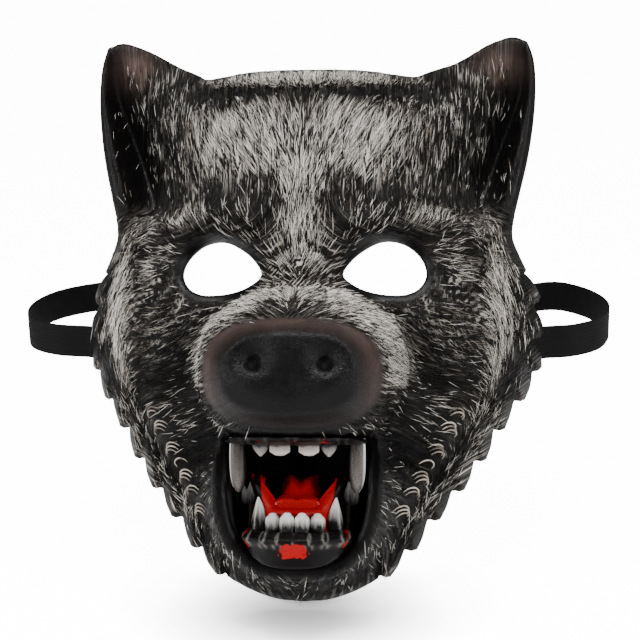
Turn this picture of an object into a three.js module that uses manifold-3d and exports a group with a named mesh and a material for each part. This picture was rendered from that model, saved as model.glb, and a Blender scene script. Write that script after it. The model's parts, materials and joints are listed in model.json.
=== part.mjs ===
import * as THREE from 'three';
import { mergeVertices } from 'three/addons/utils/BufferGeometryUtils.js';
import Module from 'manifold-3d';

// A moulded foam wolf mask, worn over the face and held by one elastic strap.
// Millimetres, +Z up. The wearer looks along -Y, and the origin lies between the
// eyes, in the plane of the rim that sits against the temples.
// Face pieces are drawn in the face's own frame: x to the side, z up along the face,
// and a height that counts forward from the rim plane, so y is minus the height.

const wasm = await Module();
wasm.setup();

// Foam shell
const FACE_WIDTH = 224.6; // across the cheeks
const FACE_HEIGHT = 270.3; // chin to ear tips
const FACE_DEPTH = 67; // forehead over the rim plane
const FACE_LEAN = 15; // degrees that the top leans back when worn
const EYE_LINE = 0.5745; // height of the eyes, as a share from the chin
const WALL = 4;
const SCALLOP_DEPTH = 3.6;
const SCALLOP_PITCH = 16.5;
const EAR_CUP = 25; // depth of the ear's hollow
const CLEARANCE = 0.3;

// Snout and nose
const SNOUT_REACH = 118; // nose front over the rim plane
const SNOUT_WIDTH = 84;
const SNOUT_HEIGHT = 62;
const SNOUT_DROP = 46; // centre of the snout under the eyes
const NOSE_WIDTH = 76.5;
const NOSE_HEIGHT = 46;
const NOSE_RISE = 11; // nose pad over the fur around it
const NOSTRIL_DIAMETER = 4.4;
const NOSTRIL_DEPTH = 2.6; // blind holes in the nose pad
const NOSTRIL_SPACING = 31;

// Eyes
const EYE_WIDTH = 38.4;
const EYE_HEIGHT = 24.6;
const EYE_SPACING = 77;
const EYE_ROLL = 3.4; // height of the rolled rim over the eye

// Mouth
const MOUTH_WIDTH = 63.6;
const MOUTH_HEIGHT = 58.5;
const MOUTH_DROP = 74.5; // top of the mouth under the eyes
const JAW_REACH = 86; // lower lip over the rim plane
const JAW_WIDTH = 76;
const POCKET_BACK = 40; // throat over the rim plane
const POCKET_WALL = 3;
const GUM_THICKNESS = 8;
const TONGUE_WIDTH = 25;

// Strap
const STRAP_WIDTH = 17;
const STRAP_THICKNESS = 1.2;
const STRAP_DROP = 38; // strap under the eyes, when worn
const LOOP_WIDTH = 314.5;
const LOOP_DEPTH = 118; // back of the loop behind the eyes
const LOOP_SHIFT = -4.4; // the open loop stands a little to one side
const LOOP_SAG = 22; // how far the back of the loop hangs
const ANCHOR_LENGTH = 20;
const ANCHOR_THICKNESS = 5;
const ANCHOR_MARGIN = 3; // pad past the strap on every side

const HALF = FACE_WIDTH / 2;
const at = (share) => (share - EYE_LINE) * FACE_HEIGHT;

// Cross sections of the face. up is a share of the height from the chin, half a share
// of the half width, and the rest are shares of the depth at STATIONS across the half.
const STATIONS = [0, 0.35, 0.62, 0.85, 1];
const SECTIONS = [
  { up: -0.036, half: 0.36, forms: [0.7, 0.69, 0.68, 0.72, 0.74] },
  { up: 0.005, half: 0.36, forms: [0.86, 0.84, 0.8, 0.78, 0.78] },
  { up: 0.045, half: 0.42, forms: [0.97, 0.94, 0.9, 0.84, 0.8] },
  { up: 0.097, half: 0.49, forms: [0.97, 0.94, 0.91, 0.86, 0.77] },
  { up: 0.179, half: 0.63, forms: [0.91, 0.88, 0.86, 0.77, 0.62] },
  { up: 0.26, half: 0.79, forms: [0.88, 0.86, 0.79, 0.62, 0.38] },
  { up: 0.353, half: 0.94, forms: [0.91, 0.89, 0.77, 0.5, 0.12] },
  { up: 0.445, half: 1.01, forms: [0.94, 0.91, 0.78, 0.46, 0.02] },
  { up: 0.538, half: 0.98, forms: [0.98, 0.89, 0.78, 0.46, 0.03] },
  { up: 0.612, half: 0.92, forms: [1, 0.89, 0.77, 0.44, 0.05] },
  { up: 0.678, half: 0.9, forms: [0.97, 0.91, 0.75, 0.42, 0.02] },
  { up: 0.76, half: 0.86, forms: [0.91, 0.86, 0.67, 0.34, -0.06] },
  { up: 0.834, half: 0.81, forms: [0.8, 0.75, 0.55, 0.23, -0.09] },
  { up: 0.889, half: 0.73, forms: [0.67, 0.61, 0.42, 0.16, -0.12] },
  { up: 0.934, half: 0.64, forms: [0.53, 0.47, 0.3, 0.08, -0.16] },
  { up: 1, half: 0.58, forms: [0.28, 0.23, 0.12, 0, -0.19] },
];

// Half outline of the rim: out is a share of the half width, up of the height.
const OUTLINE = [
  { out: 0, up: 0.931 }, { out: 0.24, up: 0.929 }, { out: 0.38, up: 0.926 }, { out: 0.46, up: 0.927 },
  { out: 0.52, up: 0.943 }, { out: 0.7, up: 0.986 }, { out: 0.8, up: 1.004 }, { out: 0.88, up: 1.014 },
  { out: 0.935, up: 1.009 }, { out: 0.972, up: 0.99 }, { out: 0.99, up: 0.953 }, { out: 0.99, up: 0.893 },
  { out: 0.975, up: 0.834 }, { out: 0.952, up: 0.778 }, { out: 0.92, up: 0.722 }, { out: 0.893, up: 0.674 },
  { out: 0.884, up: 0.637 }, { out: 0.915, up: 0.604 }, { out: 0.965, up: 0.559 }, { out: 0.993, up: 0.508 },
  { out: 1, up: 0.448 }, { out: 0.983, up: 0.389 }, { out: 0.905, up: 0.341 }, { out: 0.83, up: 0.3 },
  { out: 0.76, up: 0.255 }, { out: 0.68, up: 0.21 }, { out: 0.595, up: 0.169 }, { out: 0.515, up: 0.131 },
  { out: 0.44, up: 0.092 }, { out: 0.35, up: 0.055 }, { out: 0.24, up: 0.025 }, { out: 0.115, up: 0.005 },
  { out: 0, up: 0 },
];
const SCALLOPS_FROM = 0.575; // share of the height where the scalloped edge starts
const SCALLOPS_TO = 0.045;

// The ear's cup: crease and lip as shares of the half width, and heights over the rim
// plane as shares of the cup's depth.
const EAR = [
  { up: 0.593, crease: 0.69, lip: 0.925, floor: 0.64, edge: 0.24, root: 1.6 },
  { up: 0.648, crease: 0.716, lip: 0.9, floor: -0.08, edge: 0.32, root: 1.5 },
  { up: 0.726, crease: 0.766, lip: 0.925, floor: -0.68, edge: 0.24, root: 1.2 },
  { up: 0.808, crease: 0.834, lip: 0.966, floor: -0.84, edge: 0.08, root: 0.7 },
  { up: 0.9, crease: 0.916, lip: 0.988, floor: -0.8, edge: -0.08, root: 0.2 },
  { up: 0.959, crease: 0.938, lip: 0.984, floor: -0.56, edge: -0.16, root: -0.08 },
  { up: 1.004, crease: 0.934, lip: 0.961, floor: -0.32, edge: -0.2, root: -0.24 },
];

// Swellings and dents: out and wide are shares of the half width, up and tall of the
// height, rise of the depth, and turn is in degrees.
const RELIEF = [
  { name: 'forehead lobe', out: 0.27, up: 0.819, wide: 0.22, tall: 0.048, turn: -8, rise: 0.08 },
  { name: 'forehead furrow', out: 0, up: 0.841, wide: 0.065, tall: 0.096, turn: 0, rise: -0.065 },
  { name: 'crest roll', out: 0.18, up: 0.915, wide: 0.36, tall: 0.0185, turn: 0, rise: 0.07 },
  { name: 'crest groove', out: 0.2, up: 0.882, wide: 0.36, tall: 0.0167, turn: 0, rise: -0.055 },
  { name: 'brow', out: 0.45, up: 0.663, wide: 0.2, tall: 0.03, turn: 12, rise: 0.13 },
  { name: 'frown', out: 0.245, up: 0.656, wide: 0.11, tall: 0.044, turn: -35, rise: 0.08 },
  { name: 'eye socket', out: 0.36, up: 0.604, wide: 0.2, tall: 0.033, turn: 6, rise: -0.14 },
  { name: 'eye floor', out: 0.345, up: 0.563, wide: 0.22, tall: 0.044, turn: 0, rise: -0.09 },
  { name: 'bridge', out: 0, up: 0.63, wide: 0.127, tall: 0.148, turn: 0, rise: 0.09 },
  { name: 'cheekbone', out: 0.6, up: 0.486, wide: 0.145, tall: 0.044, turn: 30, rise: 0.09 },
  { name: 'eye bag', out: 0.47, up: 0.493, wide: 0.11, tall: 0.03, turn: -30, rise: 0.06 },
  { name: 'snout furrow', out: 0.48, up: 0.4, wide: 0.075, tall: 0.08, turn: 10, rise: -0.06 },
  { name: 'jowl', out: 0.56, up: 0.315, wide: 0.13, tall: 0.074, turn: -30, rise: 0.06 },
  { name: 'cheek edge', out: 0.86, up: 0.45, wide: 0.045, tall: 0.12, turn: 0, rise: 0.05 },
  { name: 'nostril dimple', out: 0.138, up: 0.425, wide: 0.055, tall: 0.021, turn: 0, rise: -0.065 },
  { name: 'nostril wing', out: 0.16, up: 0.39, wide: 0.12, tall: 0.03, turn: 20, rise: 0.035 },
];

// Half outlines of the mouth and of the eye, as shares of their own width and height.
const MOUTH = [
  { out: 0, up: 0 }, { out: 0.38, up: 0 }, { out: 0.7, up: -0.008 }, { out: 0.93, up: -0.03 },
  { out: 1, up: -0.1 }, { out: 1.01, up: -0.32 }, { out: 0.985, up: -0.52 }, { out: 0.91, up: -0.72 },
  { out: 0.755, up: -0.87 }, { out: 0.5, up: -0.965 }, { out: 0.25, up: -0.995 }, { out: 0, up: -1 },
];
const EYE = [
  { out: -0.51, up: -0.12 }, { out: -0.4, up: 0.16 }, { out: -0.24, up: 0.36 }, { out: -0.07, up: 0.485 },
  { out: 0.1, up: 0.5 }, { out: 0.28, up: 0.4 }, { out: 0.43, up: 0.17 }, { out: 0.49, up: -0.12 },
  { out: 0.42, up: -0.36 }, { out: 0.27, up: -0.49 }, { out: 0.06, up: -0.51 }, { out: -0.18, up: -0.45 },
  { out: -0.38, up: -0.32 },
];

const clamp = (v, low, high) => Math.min(high, Math.max(low, v));

function smoothStep(from, to, v) {
  const t = clamp((v - from) / (to - from), 0, 1);
  return t * t * (3 - 2 * t);
}

function smoothMax(a, b, blend) {
  const t = clamp(0.5 + (0.5 * (a - b)) / blend, 0, 1);
  return b * (1 - t) + a * t + blend * t * (1 - t);
}

// Smooth curve through a table's rows, read at one place between them.
function along(places, values, place) {
  const last = places.length - 1;
  const v = clamp(place, places[0], places[last]);
  let i = 0;
  while (i < last - 1 && v >= places[i + 1]) i += 1;
  const span = places[i + 1] - places[i];
  const slope = (k) => {
    const a = Math.max(0, k - 1);
    const b = Math.min(last, k + 1);
    return (values[b] - values[a]) / (places[b] - places[a]);
  };
  const t = (v - places[i]) / span;
  const rise = span * ((t * t * t - 2 * t * t + t) * slope(i) + (t * t * t - t * t) * slope(i + 1));
  return values[i] + (values[i + 1] - values[i]) * t * t * (3 - 2 * t) + rise;
}

const column = (table, key) => table.map((row) => row[key]);
const sectionUps = column(SECTIONS, 'up');
const sectionHalves = column(SECTIONS, 'half');
const sectionForms = STATIONS.map((_, k) => SECTIONS.map((row) => row.forms[k]));
const earUps = column(EAR, 'up');

// Height of the plain face, before the ears, the snout and the jaw.
function faceHeight(x, up) {
  const across = x / (HALF * along(sectionUps, sectionHalves, up));
  const forms = sectionForms.map((values) => along(sectionUps, values, up));
  const last = STATIONS.length - 1;
  const fall = (forms[last] - forms[last - 1]) / (1 - STATIONS[last - 1]);
  if (across >= 1) return FACE_DEPTH * (forms[last] + 1.2 * fall * (across - 1));
  return FACE_DEPTH * along(STATIONS, forms, across);
}

// The ear is a cup that opens forward: a deep crease, an outer lip and an inner root.
function earHeight(x, up) {
  const read = (key) => along(earUps, column(EAR, key), up);
  const crease = HALF * read('crease');
  const lip = HALF * read('lip');
  const floor = EAR_CUP * read('floor');
  if (x > crease) {
    const t = (x - crease) / Math.max(1, lip - crease);
    const rise = (EAR_CUP * read('edge') - floor) * smoothStep(0, 0.62, t);
    return floor + rise - WALL * smoothStep(0.75, 1.15, t) - 2.5 * WALL * Math.max(0, t - 1.15);
  }
  return floor + (EAR_CUP * read('root') - floor) * smoothStep(-0.05, 1, (crease - x) / (0.4 * HALF));
}

// A rounded box in the face: under 1 inside it and over 1 outside.
function oval(x, z, middle, half, above, below, power) {
  const tall = z > middle ? above : below;
  return ((x / half) ** power + (Math.abs(z - middle) / tall) ** power) ** (1 / power);
}

// A block that stands forward: level on top, with a skirt down to its foot.
function mesa(onTop, onFoot, level, foot) {
  if (onTop <= 1) return level;
  const t = clamp((onTop - 1) / Math.max(0.001, onTop - onFoot), 0, 3);
  return level - (level - foot) * Math.min(t, 1) ** 0.85 - level * Math.max(0, t - 1);
}

function snoutHeight(x, z) {
  const half = SNOUT_WIDTH / 2;
  const tall = SNOUT_HEIGHT / 2;
  const top = oval(x, z, -SNOUT_DROP, half, tall, tall, 2.5);
  const foot = oval(x, z, -SNOUT_DROP, half * 1.17, tall * 1.38, tall * 1.38, 2.3);
  const lip = SNOUT_REACH - NOSE_RISE;
  const roll = 0.05 * SNOUT_REACH * smoothStep(0.82, 1, top);
  const tuck = 0.042 * SNOUT_REACH * smoothStep(-0.62 * SNOUT_DROP, -0.4 * SNOUT_DROP, z);
  const height = mesa(top, foot, lip - roll, 0.45 * SNOUT_REACH) - tuck;
  const pad = oval(x, z, -SNOUT_DROP - 1, NOSE_WIDTH / 2, NOSE_HEIGHT / 2, NOSE_HEIGHT / 2, 2.6);
  const crown = 1 - 0.27 * smoothStep(0.35, 0.95, pad);
  return height + NOSE_RISE * crown * (1 - smoothStep(0.72, 1.04, pad));
}

function jawHeight(x, z) {
  const half = JAW_WIDTH / 2;
  const middle = -MOUTH_DROP - 0.43 * MOUTH_HEIGHT;
  const top = oval(x, z, middle, half, MOUTH_HEIGHT, 0.7 * MOUTH_HEIGHT, 2.4);
  const foot = oval(x, z, middle, half * 1.5, 1.13 * MOUTH_HEIGHT, 0.94 * MOUTH_HEIGHT, 2.3);
  const lean = 0.14 * JAW_REACH * smoothStep(middle - 0.08 * MOUTH_HEIGHT, -MOUTH_DROP, z);
  return mesa(top, foot, JAW_REACH, 0.62 * JAW_REACH) - lean;
}

function reliefHeight(x, up) {
  let height = 0;
  for (const form of RELIEF) {
    const turn = THREE.MathUtils.degToRad(form.turn);
    const dx = x - form.out * HALF;
    const dz = (up - form.up) * FACE_HEIGHT;
    const p = (dx * Math.cos(turn) + dz * Math.sin(turn)) / (form.wide * HALF);
    const q = (-dx * Math.sin(turn) + dz * Math.cos(turn)) / (form.tall * FACE_HEIGHT);
    height += form.rise * FACE_DEPTH * Math.exp(-(p * p + q * q));
  }
  return height;
}

// Distance outside the eye hole, for the rolled rim around it.
function eyeRoll(x, z) {
  const dx = (x - EYE_SPACING / 2) / (EYE_WIDTH / 2);
  const dz = z / (EYE_HEIGHT / 2);
  const out = (Math.hypot(dx, dz) - 1) * (EYE_HEIGHT / 2);
  const upper = 0.45 + 0.55 * smoothStep(-0.6, 0.5, dz);
  return upper * EYE_ROLL * Math.exp(-((out / (0.9 * EYE_ROLL) - 1) ** 2));
}

// The outer surface: one height for each place on the face.
function outerHeight(side, z) {
  const x = Math.abs(side);
  const up = z / FACE_HEIGHT + EYE_LINE;
  const crease = HALF * along(earUps, column(EAR, 'crease'), up);
  const ear = smoothStep(0.605, 0.7, up) * smoothStep(0, 1, (x - (crease - 0.4 * HALF)) / (0.27 * HALF));
  let height = faceHeight(x, up) * (1 - ear) + earHeight(x, up) * ear;
  height = smoothMax(height, snoutHeight(x, z), 0.05 * SNOUT_REACH);
  height = smoothMax(height, jawHeight(x, z), 0.105 * JAW_REACH);
  return height + reliefHeight(x, up) + eyeRoll(x, z);
}

// The inner surface lies one wall under the outer one, measured square to it.
const PROBES = [[0, 0]];
for (let ring = 1; ring <= 3; ring += 1) {
  for (let step = 0; step < 10; step += 1) {
    const turn = ((step + ring / 2) / 10) * 2 * Math.PI;
    PROBES.push([(ring / 3) * Math.cos(turn), (ring / 3) * Math.sin(turn)]);
  }
}

function innerHeight(x, z, wall = WALL) {
  let lowest = Infinity;
  for (const [px, pz] of PROBES) {
    const drop = wall * Math.sqrt(Math.max(0, 1 - px * px - pz * pz));
    lowest = Math.min(lowest, outerHeight(x + wall * px, z + wall * pz) - drop);
  }
  return lowest;
}

// Solids

function toSolid(geometry) {
  const bare = geometry.clone();
  for (const name of Object.keys(bare.attributes)) if (name !== 'position') bare.deleteAttribute(name);
  const merged = mergeVertices(bare, 1e-4);
  return new wasm.Manifold(
    new wasm.Mesh({
      numProp: 3,
      vertProperties: Float32Array.from(merged.attributes.position.array),
      triVerts: Uint32Array.from(merged.index.array),
    }),
  );
}

function toGeometry(solid) {
  const mesh = solid.getMesh();
  const geometry = new THREE.BufferGeometry();
  geometry.setAttribute('position', new THREE.BufferAttribute(Float32Array.from(mesh.vertProperties), 3));
  geometry.setIndex(new THREE.BufferAttribute(Uint32Array.from(mesh.triVerts), 1));
  geometry.computeVertexNormals();
  return geometry;
}

// A closed body from rings of points: each ring is joined to the next, the ends capped.
function loft(rings) {
  const count = rings[0].length;
  const points = rings.flat();
  const index = [];
  for (let r = 0; r < rings.length - 1; r += 1) {
    for (let i = 0; i < count; i += 1) {
      const a = r * count + i;
      const b = r * count + ((i + 1) % count);
      index.push(a, b, b + count, a, b + count, a + count);
    }
  }
  for (let i = 1; i < count - 1; i += 1) {
    const end = (rings.length - 1) * count;
    index.push(0, i + 1, i, end, end + i, end + i + 1);
  }
  const geometry = new THREE.BufferGeometry().setFromPoints(points);
  geometry.setIndex(index);
  let solid = toSolid(geometry);
  if (solid.volume() < 0) {
    geometry.setIndex(index.reverse());
    solid = toSolid(geometry);
  }
  return solid;
}

// The body between two height functions over a grid of x and z places.
function slab(xs, zs, upper, lower) {
  const nx = xs.length;
  const nz = zs.length;
  const points = [];
  for (const height of [upper, lower]) {
    for (const z of zs) for (const x of xs) points.push(new THREE.Vector3(x, -height(x, z), z));
  }
  const index = [];
  const front = (i, j) => j * nx + i;
  const back = (i, j) => nx * nz + j * nx + i;
  const quad = (a, b, c, d) => index.push(a, b, c, a, c, d);
  for (let j = 0; j < nz - 1; j += 1) {
    for (let i = 0; i < nx - 1; i += 1) {
      quad(front(i, j), front(i + 1, j), front(i + 1, j + 1), front(i, j + 1));
      quad(back(i, j), back(i, j + 1), back(i + 1, j + 1), back(i + 1, j));
    }
  }
  for (let i = 0; i < nx - 1; i += 1) {
    quad(front(i, 0), back(i, 0), back(i + 1, 0), front(i + 1, 0));
    quad(front(i, nz - 1), front(i + 1, nz - 1), back(i + 1, nz - 1), back(i, nz - 1));
  }
  for (let j = 0; j < nz - 1; j += 1) {
    quad(front(0, j), front(0, j + 1), back(0, j + 1), back(0, j));
    quad(front(nx - 1, j), back(nx - 1, j), back(nx - 1, j + 1), front(nx - 1, j + 1));
  }
  const geometry = new THREE.BufferGeometry().setFromPoints(points);
  geometry.setIndex(index);
  return toSolid(geometry);
}

// A prism through the face: an outline in x and z, from one height to another.
function prism(outline, from, to) {
  const shape = new THREE.Shape(outline.map((p) => new THREE.Vector2(p.x, p.y)));
  const geometry = new THREE.ExtrudeGeometry(shape, { depth: to - from, bevelEnabled: false });
  geometry.rotateX(Math.PI / 2);
  geometry.translate(0, -from, 0);
  return toSolid(geometry);
}

// Grid places: fine up to a limit on both sides of the middle, coarse beyond it.
function places(from, to, fineFrom, fineTo, fine, coarse) {
  const marks = [];
  const span = (a, b, step) => {
    const count = Math.max(1, Math.round((b - a) / step));
    for (let i = 0; i < count; i += 1) marks.push(a + ((b - a) * i) / count);
  };
  span(from, fineFrom, coarse);
  span(fineFrom, fineTo, fine);
  span(fineTo, to, coarse);
  marks.push(to);
  return marks;
}

// Outlines

const smooth = (points, count, closed = false) =>
  new THREE.SplineCurve(closed ? [...points, points[0]] : points).getPoints(count);

// A half outline mirrored into a whole one.
function bothSides(half) {
  const other = half.slice(1, -1).reverse().map((p) => new THREE.Vector2(-p.x, p.y));
  return [...half, ...other];
}

// An outline moved out by some distance, square to its own run.
function grown(outline, distance) {
  const area = THREE.ShapeUtils.area(outline);
  return outline.map((p, i) => {
    const before = outline[(i + outline.length - 1) % outline.length];
    const after = outline[(i + 1) % outline.length];
    const run = after.clone().sub(before).normalize();
    const sign = area > 0 ? 1 : -1;
    return new THREE.Vector2(p.x + sign * run.y * distance, p.y - sign * run.x * distance);
  });
}

// The rim's outline: smooth over the crown and ears, saw-toothed down the cheeks.
function rimOutline() {
  const points = OUTLINE.map((row) => new THREE.Vector2(row.out * HALF, at(row.up)));
  const curve = new THREE.SplineCurve(points);
  const whole = curve.getLength();
  const fine = curve.getSpacedPoints(400);
  const start = fine.findIndex((p) => p.x > 0.9 * HALF && p.y < at(SCALLOPS_FROM)) / 400;
  const end = fine.findIndex((p, i) => i / 400 > start && p.y < at(SCALLOPS_TO)) / 400;
  const teeth = Math.max(1, Math.round(((end - start) * whole) / SCALLOP_PITCH));
  const half = [];
  const push = (t, out) => {
    const p = curve.getPointAt(clamp(t, 0, 1));
    const run = curve.getTangentAt(clamp(t, 0, 1));
    half.push(new THREE.Vector2(p.x - run.y * out, p.y + run.x * out));
  };
  for (let i = 0; i < 40; i += 1) push((start * i) / 40, 0);
  for (let i = 0; i < teeth; i += 1) {
    const span = (end - start) / teeth;
    push(start + span * i, -0.35 * SCALLOP_DEPTH);
    push(start + span * (i + 0.45), 0.4 * SCALLOP_DEPTH);
    push(start + span * (i + 0.8), 0.65 * SCALLOP_DEPTH);
  }
  push(end, -0.35 * SCALLOP_DEPTH);
  push((end + 1) / 2, 0);
  push(1, 0);
  half[0].x = 0;
  half[half.length - 1].x = 0;
  return bothSides(half);
}

const onMouth = (row) => new THREE.Vector2((row.out * MOUTH_WIDTH) / 2, row.up * MOUTH_HEIGHT - MOUTH_DROP);
const mouthHalf = MOUTH.map(onMouth);
const mouthOutline = bothSides(smooth(mouthHalf, 22));

function eyeOutline(side) {
  const points = EYE.map((row) => new THREE.Vector2(row.out * EYE_WIDTH, row.up * EYE_HEIGHT));
  const place = (p) => new THREE.Vector2(side * (p.x + EYE_SPACING / 2), p.y);
  return smooth(points, 30, true).slice(0, -1).map(place);
}

// Foam shell

const REACH_PAST = 40; // cutting tools run this far past the foam
const GRID_EDGE = HALF + 2 * SCALLOP_DEPTH;
const GRID_FINE = 0.041 * HALF;
const GRID_COARSE = 0.073 * HALF;
const GRID_X = places(-GRID_EDGE, GRID_EDGE, -0.53 * HALF, 0.53 * HALF, GRID_FINE, GRID_COARSE);
const GRID_Z = places(at(-0.03), at(1.02), at(0.27), at(0.67), 1.1 * GRID_FINE, GRID_COARSE);

// The grid's places that cover a stretch: what lies on the foam shares them, so that the
// gap between the two is even.
const covering = (marks, from, to) =>
  marks.filter((mark, i) => (marks[i + 1] ?? Infinity) > from && (marks[i - 1] ?? -Infinity) < to);

function faceShell() {
  let shell = slab(GRID_X, GRID_Z, outerHeight, innerHeight);
  shell = shell.intersect(prism(rimOutline(), -FACE_DEPTH - REACH_PAST, SNOUT_REACH + REACH_PAST));
  for (const side of [-1, 1]) {
    shell = shell.subtract(prism(eyeOutline(side), -REACH_PAST, FACE_DEPTH + REACH_PAST));
    const x = (side * NOSTRIL_SPACING) / 2;
    const z = 0.07 * NOSE_HEIGHT - SNOUT_DROP;
    const radius = NOSTRIL_DIAMETER / 2;
    const nostril = new THREE.CylinderGeometry(radius, radius, REACH_PAST, 12);
    nostril.translate(x, NOSTRIL_DEPTH - REACH_PAST / 2 - outerHeight(x, z), z);
    shell = shell.subtract(toSolid(nostril));
  }
  return shell.subtract(prism(mouthOutline, -REACH_PAST, SNOUT_REACH + REACH_PAST));
}

// Mouth lining: a closed pocket behind the lips, seated on the foam's inner face

function mouthPocket() {
  const wide = MOUTH_WIDTH / 2 + 2 * POCKET_WALL;
  const xs = covering(GRID_X, -wide, wide);
  const zs = covering(GRID_Z, -MOUTH_DROP - MOUTH_HEIGHT - 2 * POCKET_WALL, -MOUTH_DROP + 2 * POCKET_WALL);
  const behind = (x, z) => Math.max(innerHeight(x, z, WALL + CLEARANCE), POCKET_BACK + 1);
  const body = slab(xs, zs, behind, () => POCKET_BACK);
  const outside = prism(grown(mouthOutline, POCKET_WALL), 0, SNOUT_REACH);
  const hollow = prism(mouthOutline, POCKET_BACK + POCKET_WALL, SNOUT_REACH + REACH_PAST);
  return body.intersect(outside).subtract(hollow);
}

// What stands in the mouth keeps inside its outline and clear of the pocket's back.
function insideMouth(solid) {
  const room = prism(grown(mouthOutline, -CLEARANCE), POCKET_BACK + POCKET_WALL + CLEARANCE, SNOUT_REACH);
  return solid.intersect(room);
}

// A gum is a horseshoe around the jaw, seen from above: turn runs from one end around
// the front to the other. bite is the edge that holds the teeth, root the far edge.
const GUM_END = 104; // degrees from the front
const GUM_SECTION = [[-0.5, 1], [-0.5, 0.2], [-0.2, 0], [0.3, 0], [0.7, 0.12], [1.3, 0.5], [1.3, 1]];
function gum(half, front, back, bite, root) {
  const rings = [];
  const steps = 18;
  for (let i = 0; i <= steps; i += 1) {
    const turn = GUM_END * ((2 * i) / steps - 1);
    const sin = Math.sin(THREE.MathUtils.degToRad(turn));
    const cos = Math.cos(THREE.MathUtils.degToRad(turn));
    const edge = bite(Math.abs(turn) / GUM_END);
    const dir = Math.sign(root - edge);
    const ring = [];
    for (const [out, deep] of GUM_SECTION) {
      const z = deep === 1 ? root : edge + dir * deep * GUM_THICKNESS;
      const r = out * GUM_THICKNESS;
      ring.push(new THREE.Vector3((half + r) * sin, -(back + (front - back + r) * cos), z));
    }
    rings.push(ring);
  }
  return loft(rings);
}

const LOWER_BITE = MOUTH_DROP + 0.735 * MOUTH_HEIGHT;
const LOWER_HALF = 0.29 * MOUTH_WIDTH;
const LOWER_FRONT = 1.08 * JAW_REACH;
const LOWER_BACK = 0.83 * JAW_REACH;
const UPPER_BITE = MOUTH_DROP + 0.078 * MOUTH_HEIGHT;
const UPPER_HALF = 0.42 * MOUTH_WIDTH;
const UPPER_FRONT = 0.79 * SNOUT_REACH;
const UPPER_BACK = 0.71 * SNOUT_REACH;

const lowerBite = (turn) => -LOWER_BITE + 0.36 * MOUTH_HEIGHT * smoothStep(0.77, 1, turn);
const upperBite = () => -UPPER_BITE;

// Teeth: a round or flat peg that thins to its tip. The table gives its profile from
// root to tip, as shares of the tooth's length and thickness.
const FANG = [[0, 1], [0.22, 0.98], [0.45, 0.84], [0.66, 0.6], [0.85, 0.34], [1, 0.1]];
const TUSK = [[0, 0.94], [0.3, 1], [0.62, 0.97], [0.82, 0.8], [0.94, 0.52], [1, 0.2]];
const BLADE = [[0, 0.86], [0.35, 0.98], [0.7, 1], [0.9, 0.8], [1, 0.5]];
const PEG = [[0, 1], [0.4, 0.92], [0.75, 0.62], [1, 0.2]];
const SOCKET = [[0, 1], [1, 1]];

function tooth({ profile, wide, deep, long, lean, hook }, grow = 0) {
  const rings = profile.map(([share, thick]) => {
    const ring = [];
    const end = share === 0 ? -grow : share === 1 ? grow : 0;
    for (let i = 0; i < 8; i += 1) {
      const turn = ((i + 0.5) / 8) * 2 * Math.PI;
      const x = Math.cos(turn) * ((thick * wide) / 2 + grow) + lean * share * share;
      const y = Math.sin(turn) * ((thick * deep) / 2 + grow) + hook * share * share;
      ring.push(new THREE.Vector3(x, y, long * share + end));
    }
    return ring;
  });
  return rings;
}

// Places a tooth on a gum at a side position and a height, upwards or downwards.
function place(rings, x, height, z, points) {
  const stand = (p) => new THREE.Vector3(x + p.x, p.y - height, z + points * p.z);
  return loft(rings.map((ring) => ring.map(stand)));
}

// Each tooth: side position, width and depth as shares of the mouth's width, length and
// root as shares of its height, and how far its tip leans out or hooks back.
const TEETH = [
  { name: 'upper_plate', jaw: 'upper', out: 0.105, wide: 0.129, deep: 0.063, long: 0.079, root: 0.036,
    profile: BLADE, lean: 0, hook: 0 },
  { name: 'upper_incisor', jaw: 'upper', out: 0.236, wide: 0.1, deep: 0.079, long: 0.085, root: 0.036,
    profile: PEG, lean: 0, hook: 0 },
  { name: 'upper_canine', jaw: 'upper', out: 0.424, wide: 0.118, deep: 0.123, long: 0.365, root: 0.036,
    profile: TUSK, lean: -0.004, hook: 0.025 },
  { name: 'lower_incisor_inner', jaw: 'lower', out: 0.052, wide: 0.099, deep: 0.079, long: 0.13, root: 0.051,
    profile: BLADE, lean: 0, hook: 0 },
  { name: 'lower_incisor_outer', jaw: 'lower', out: 0.157, wide: 0.099, deep: 0.079, long: 0.12, root: 0.051,
    profile: BLADE, lean: 0, hook: 0 },
  { name: 'lower_canine', jaw: 'lower', out: 0.262, wide: 0.112, deep: 0.112, long: 0.245, root: 0.068,
    profile: FANG, lean: 0.014, hook: 0 },
  { name: 'lower_premolar', jaw: 'lower', out: 0.355, wide: 0.082, deep: 0.085, long: 0.15, root: 0.051,
    profile: PEG, lean: 0, hook: 0 },
];

// Where a tooth stands on its gum's horseshoe, from its side position.
function seat(row) {
  const upper = row.jaw === 'upper';
  const half = upper ? UPPER_HALF : LOWER_HALF;
  const front = upper ? UPPER_FRONT : LOWER_FRONT;
  const back = upper ? UPPER_BACK : LOWER_BACK;
  const x = row.out * MOUTH_WIDTH;
  const sin = clamp(x / half, 0, 1);
  const turn = THREE.MathUtils.radToDeg(Math.asin(sin)) / GUM_END;
  const deep = x > half ? back - 0.4 * GUM_THICKNESS : back + (front - back) * Math.sqrt(1 - sin * sin);
  const z = upper ? upperBite(turn) : lowerBite(turn);
  const root = row.root * MOUTH_HEIGHT * (upper ? 1 : -1);
  return { x, height: deep, z: z + root, points: upper ? -1 : 1 };
}

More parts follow.
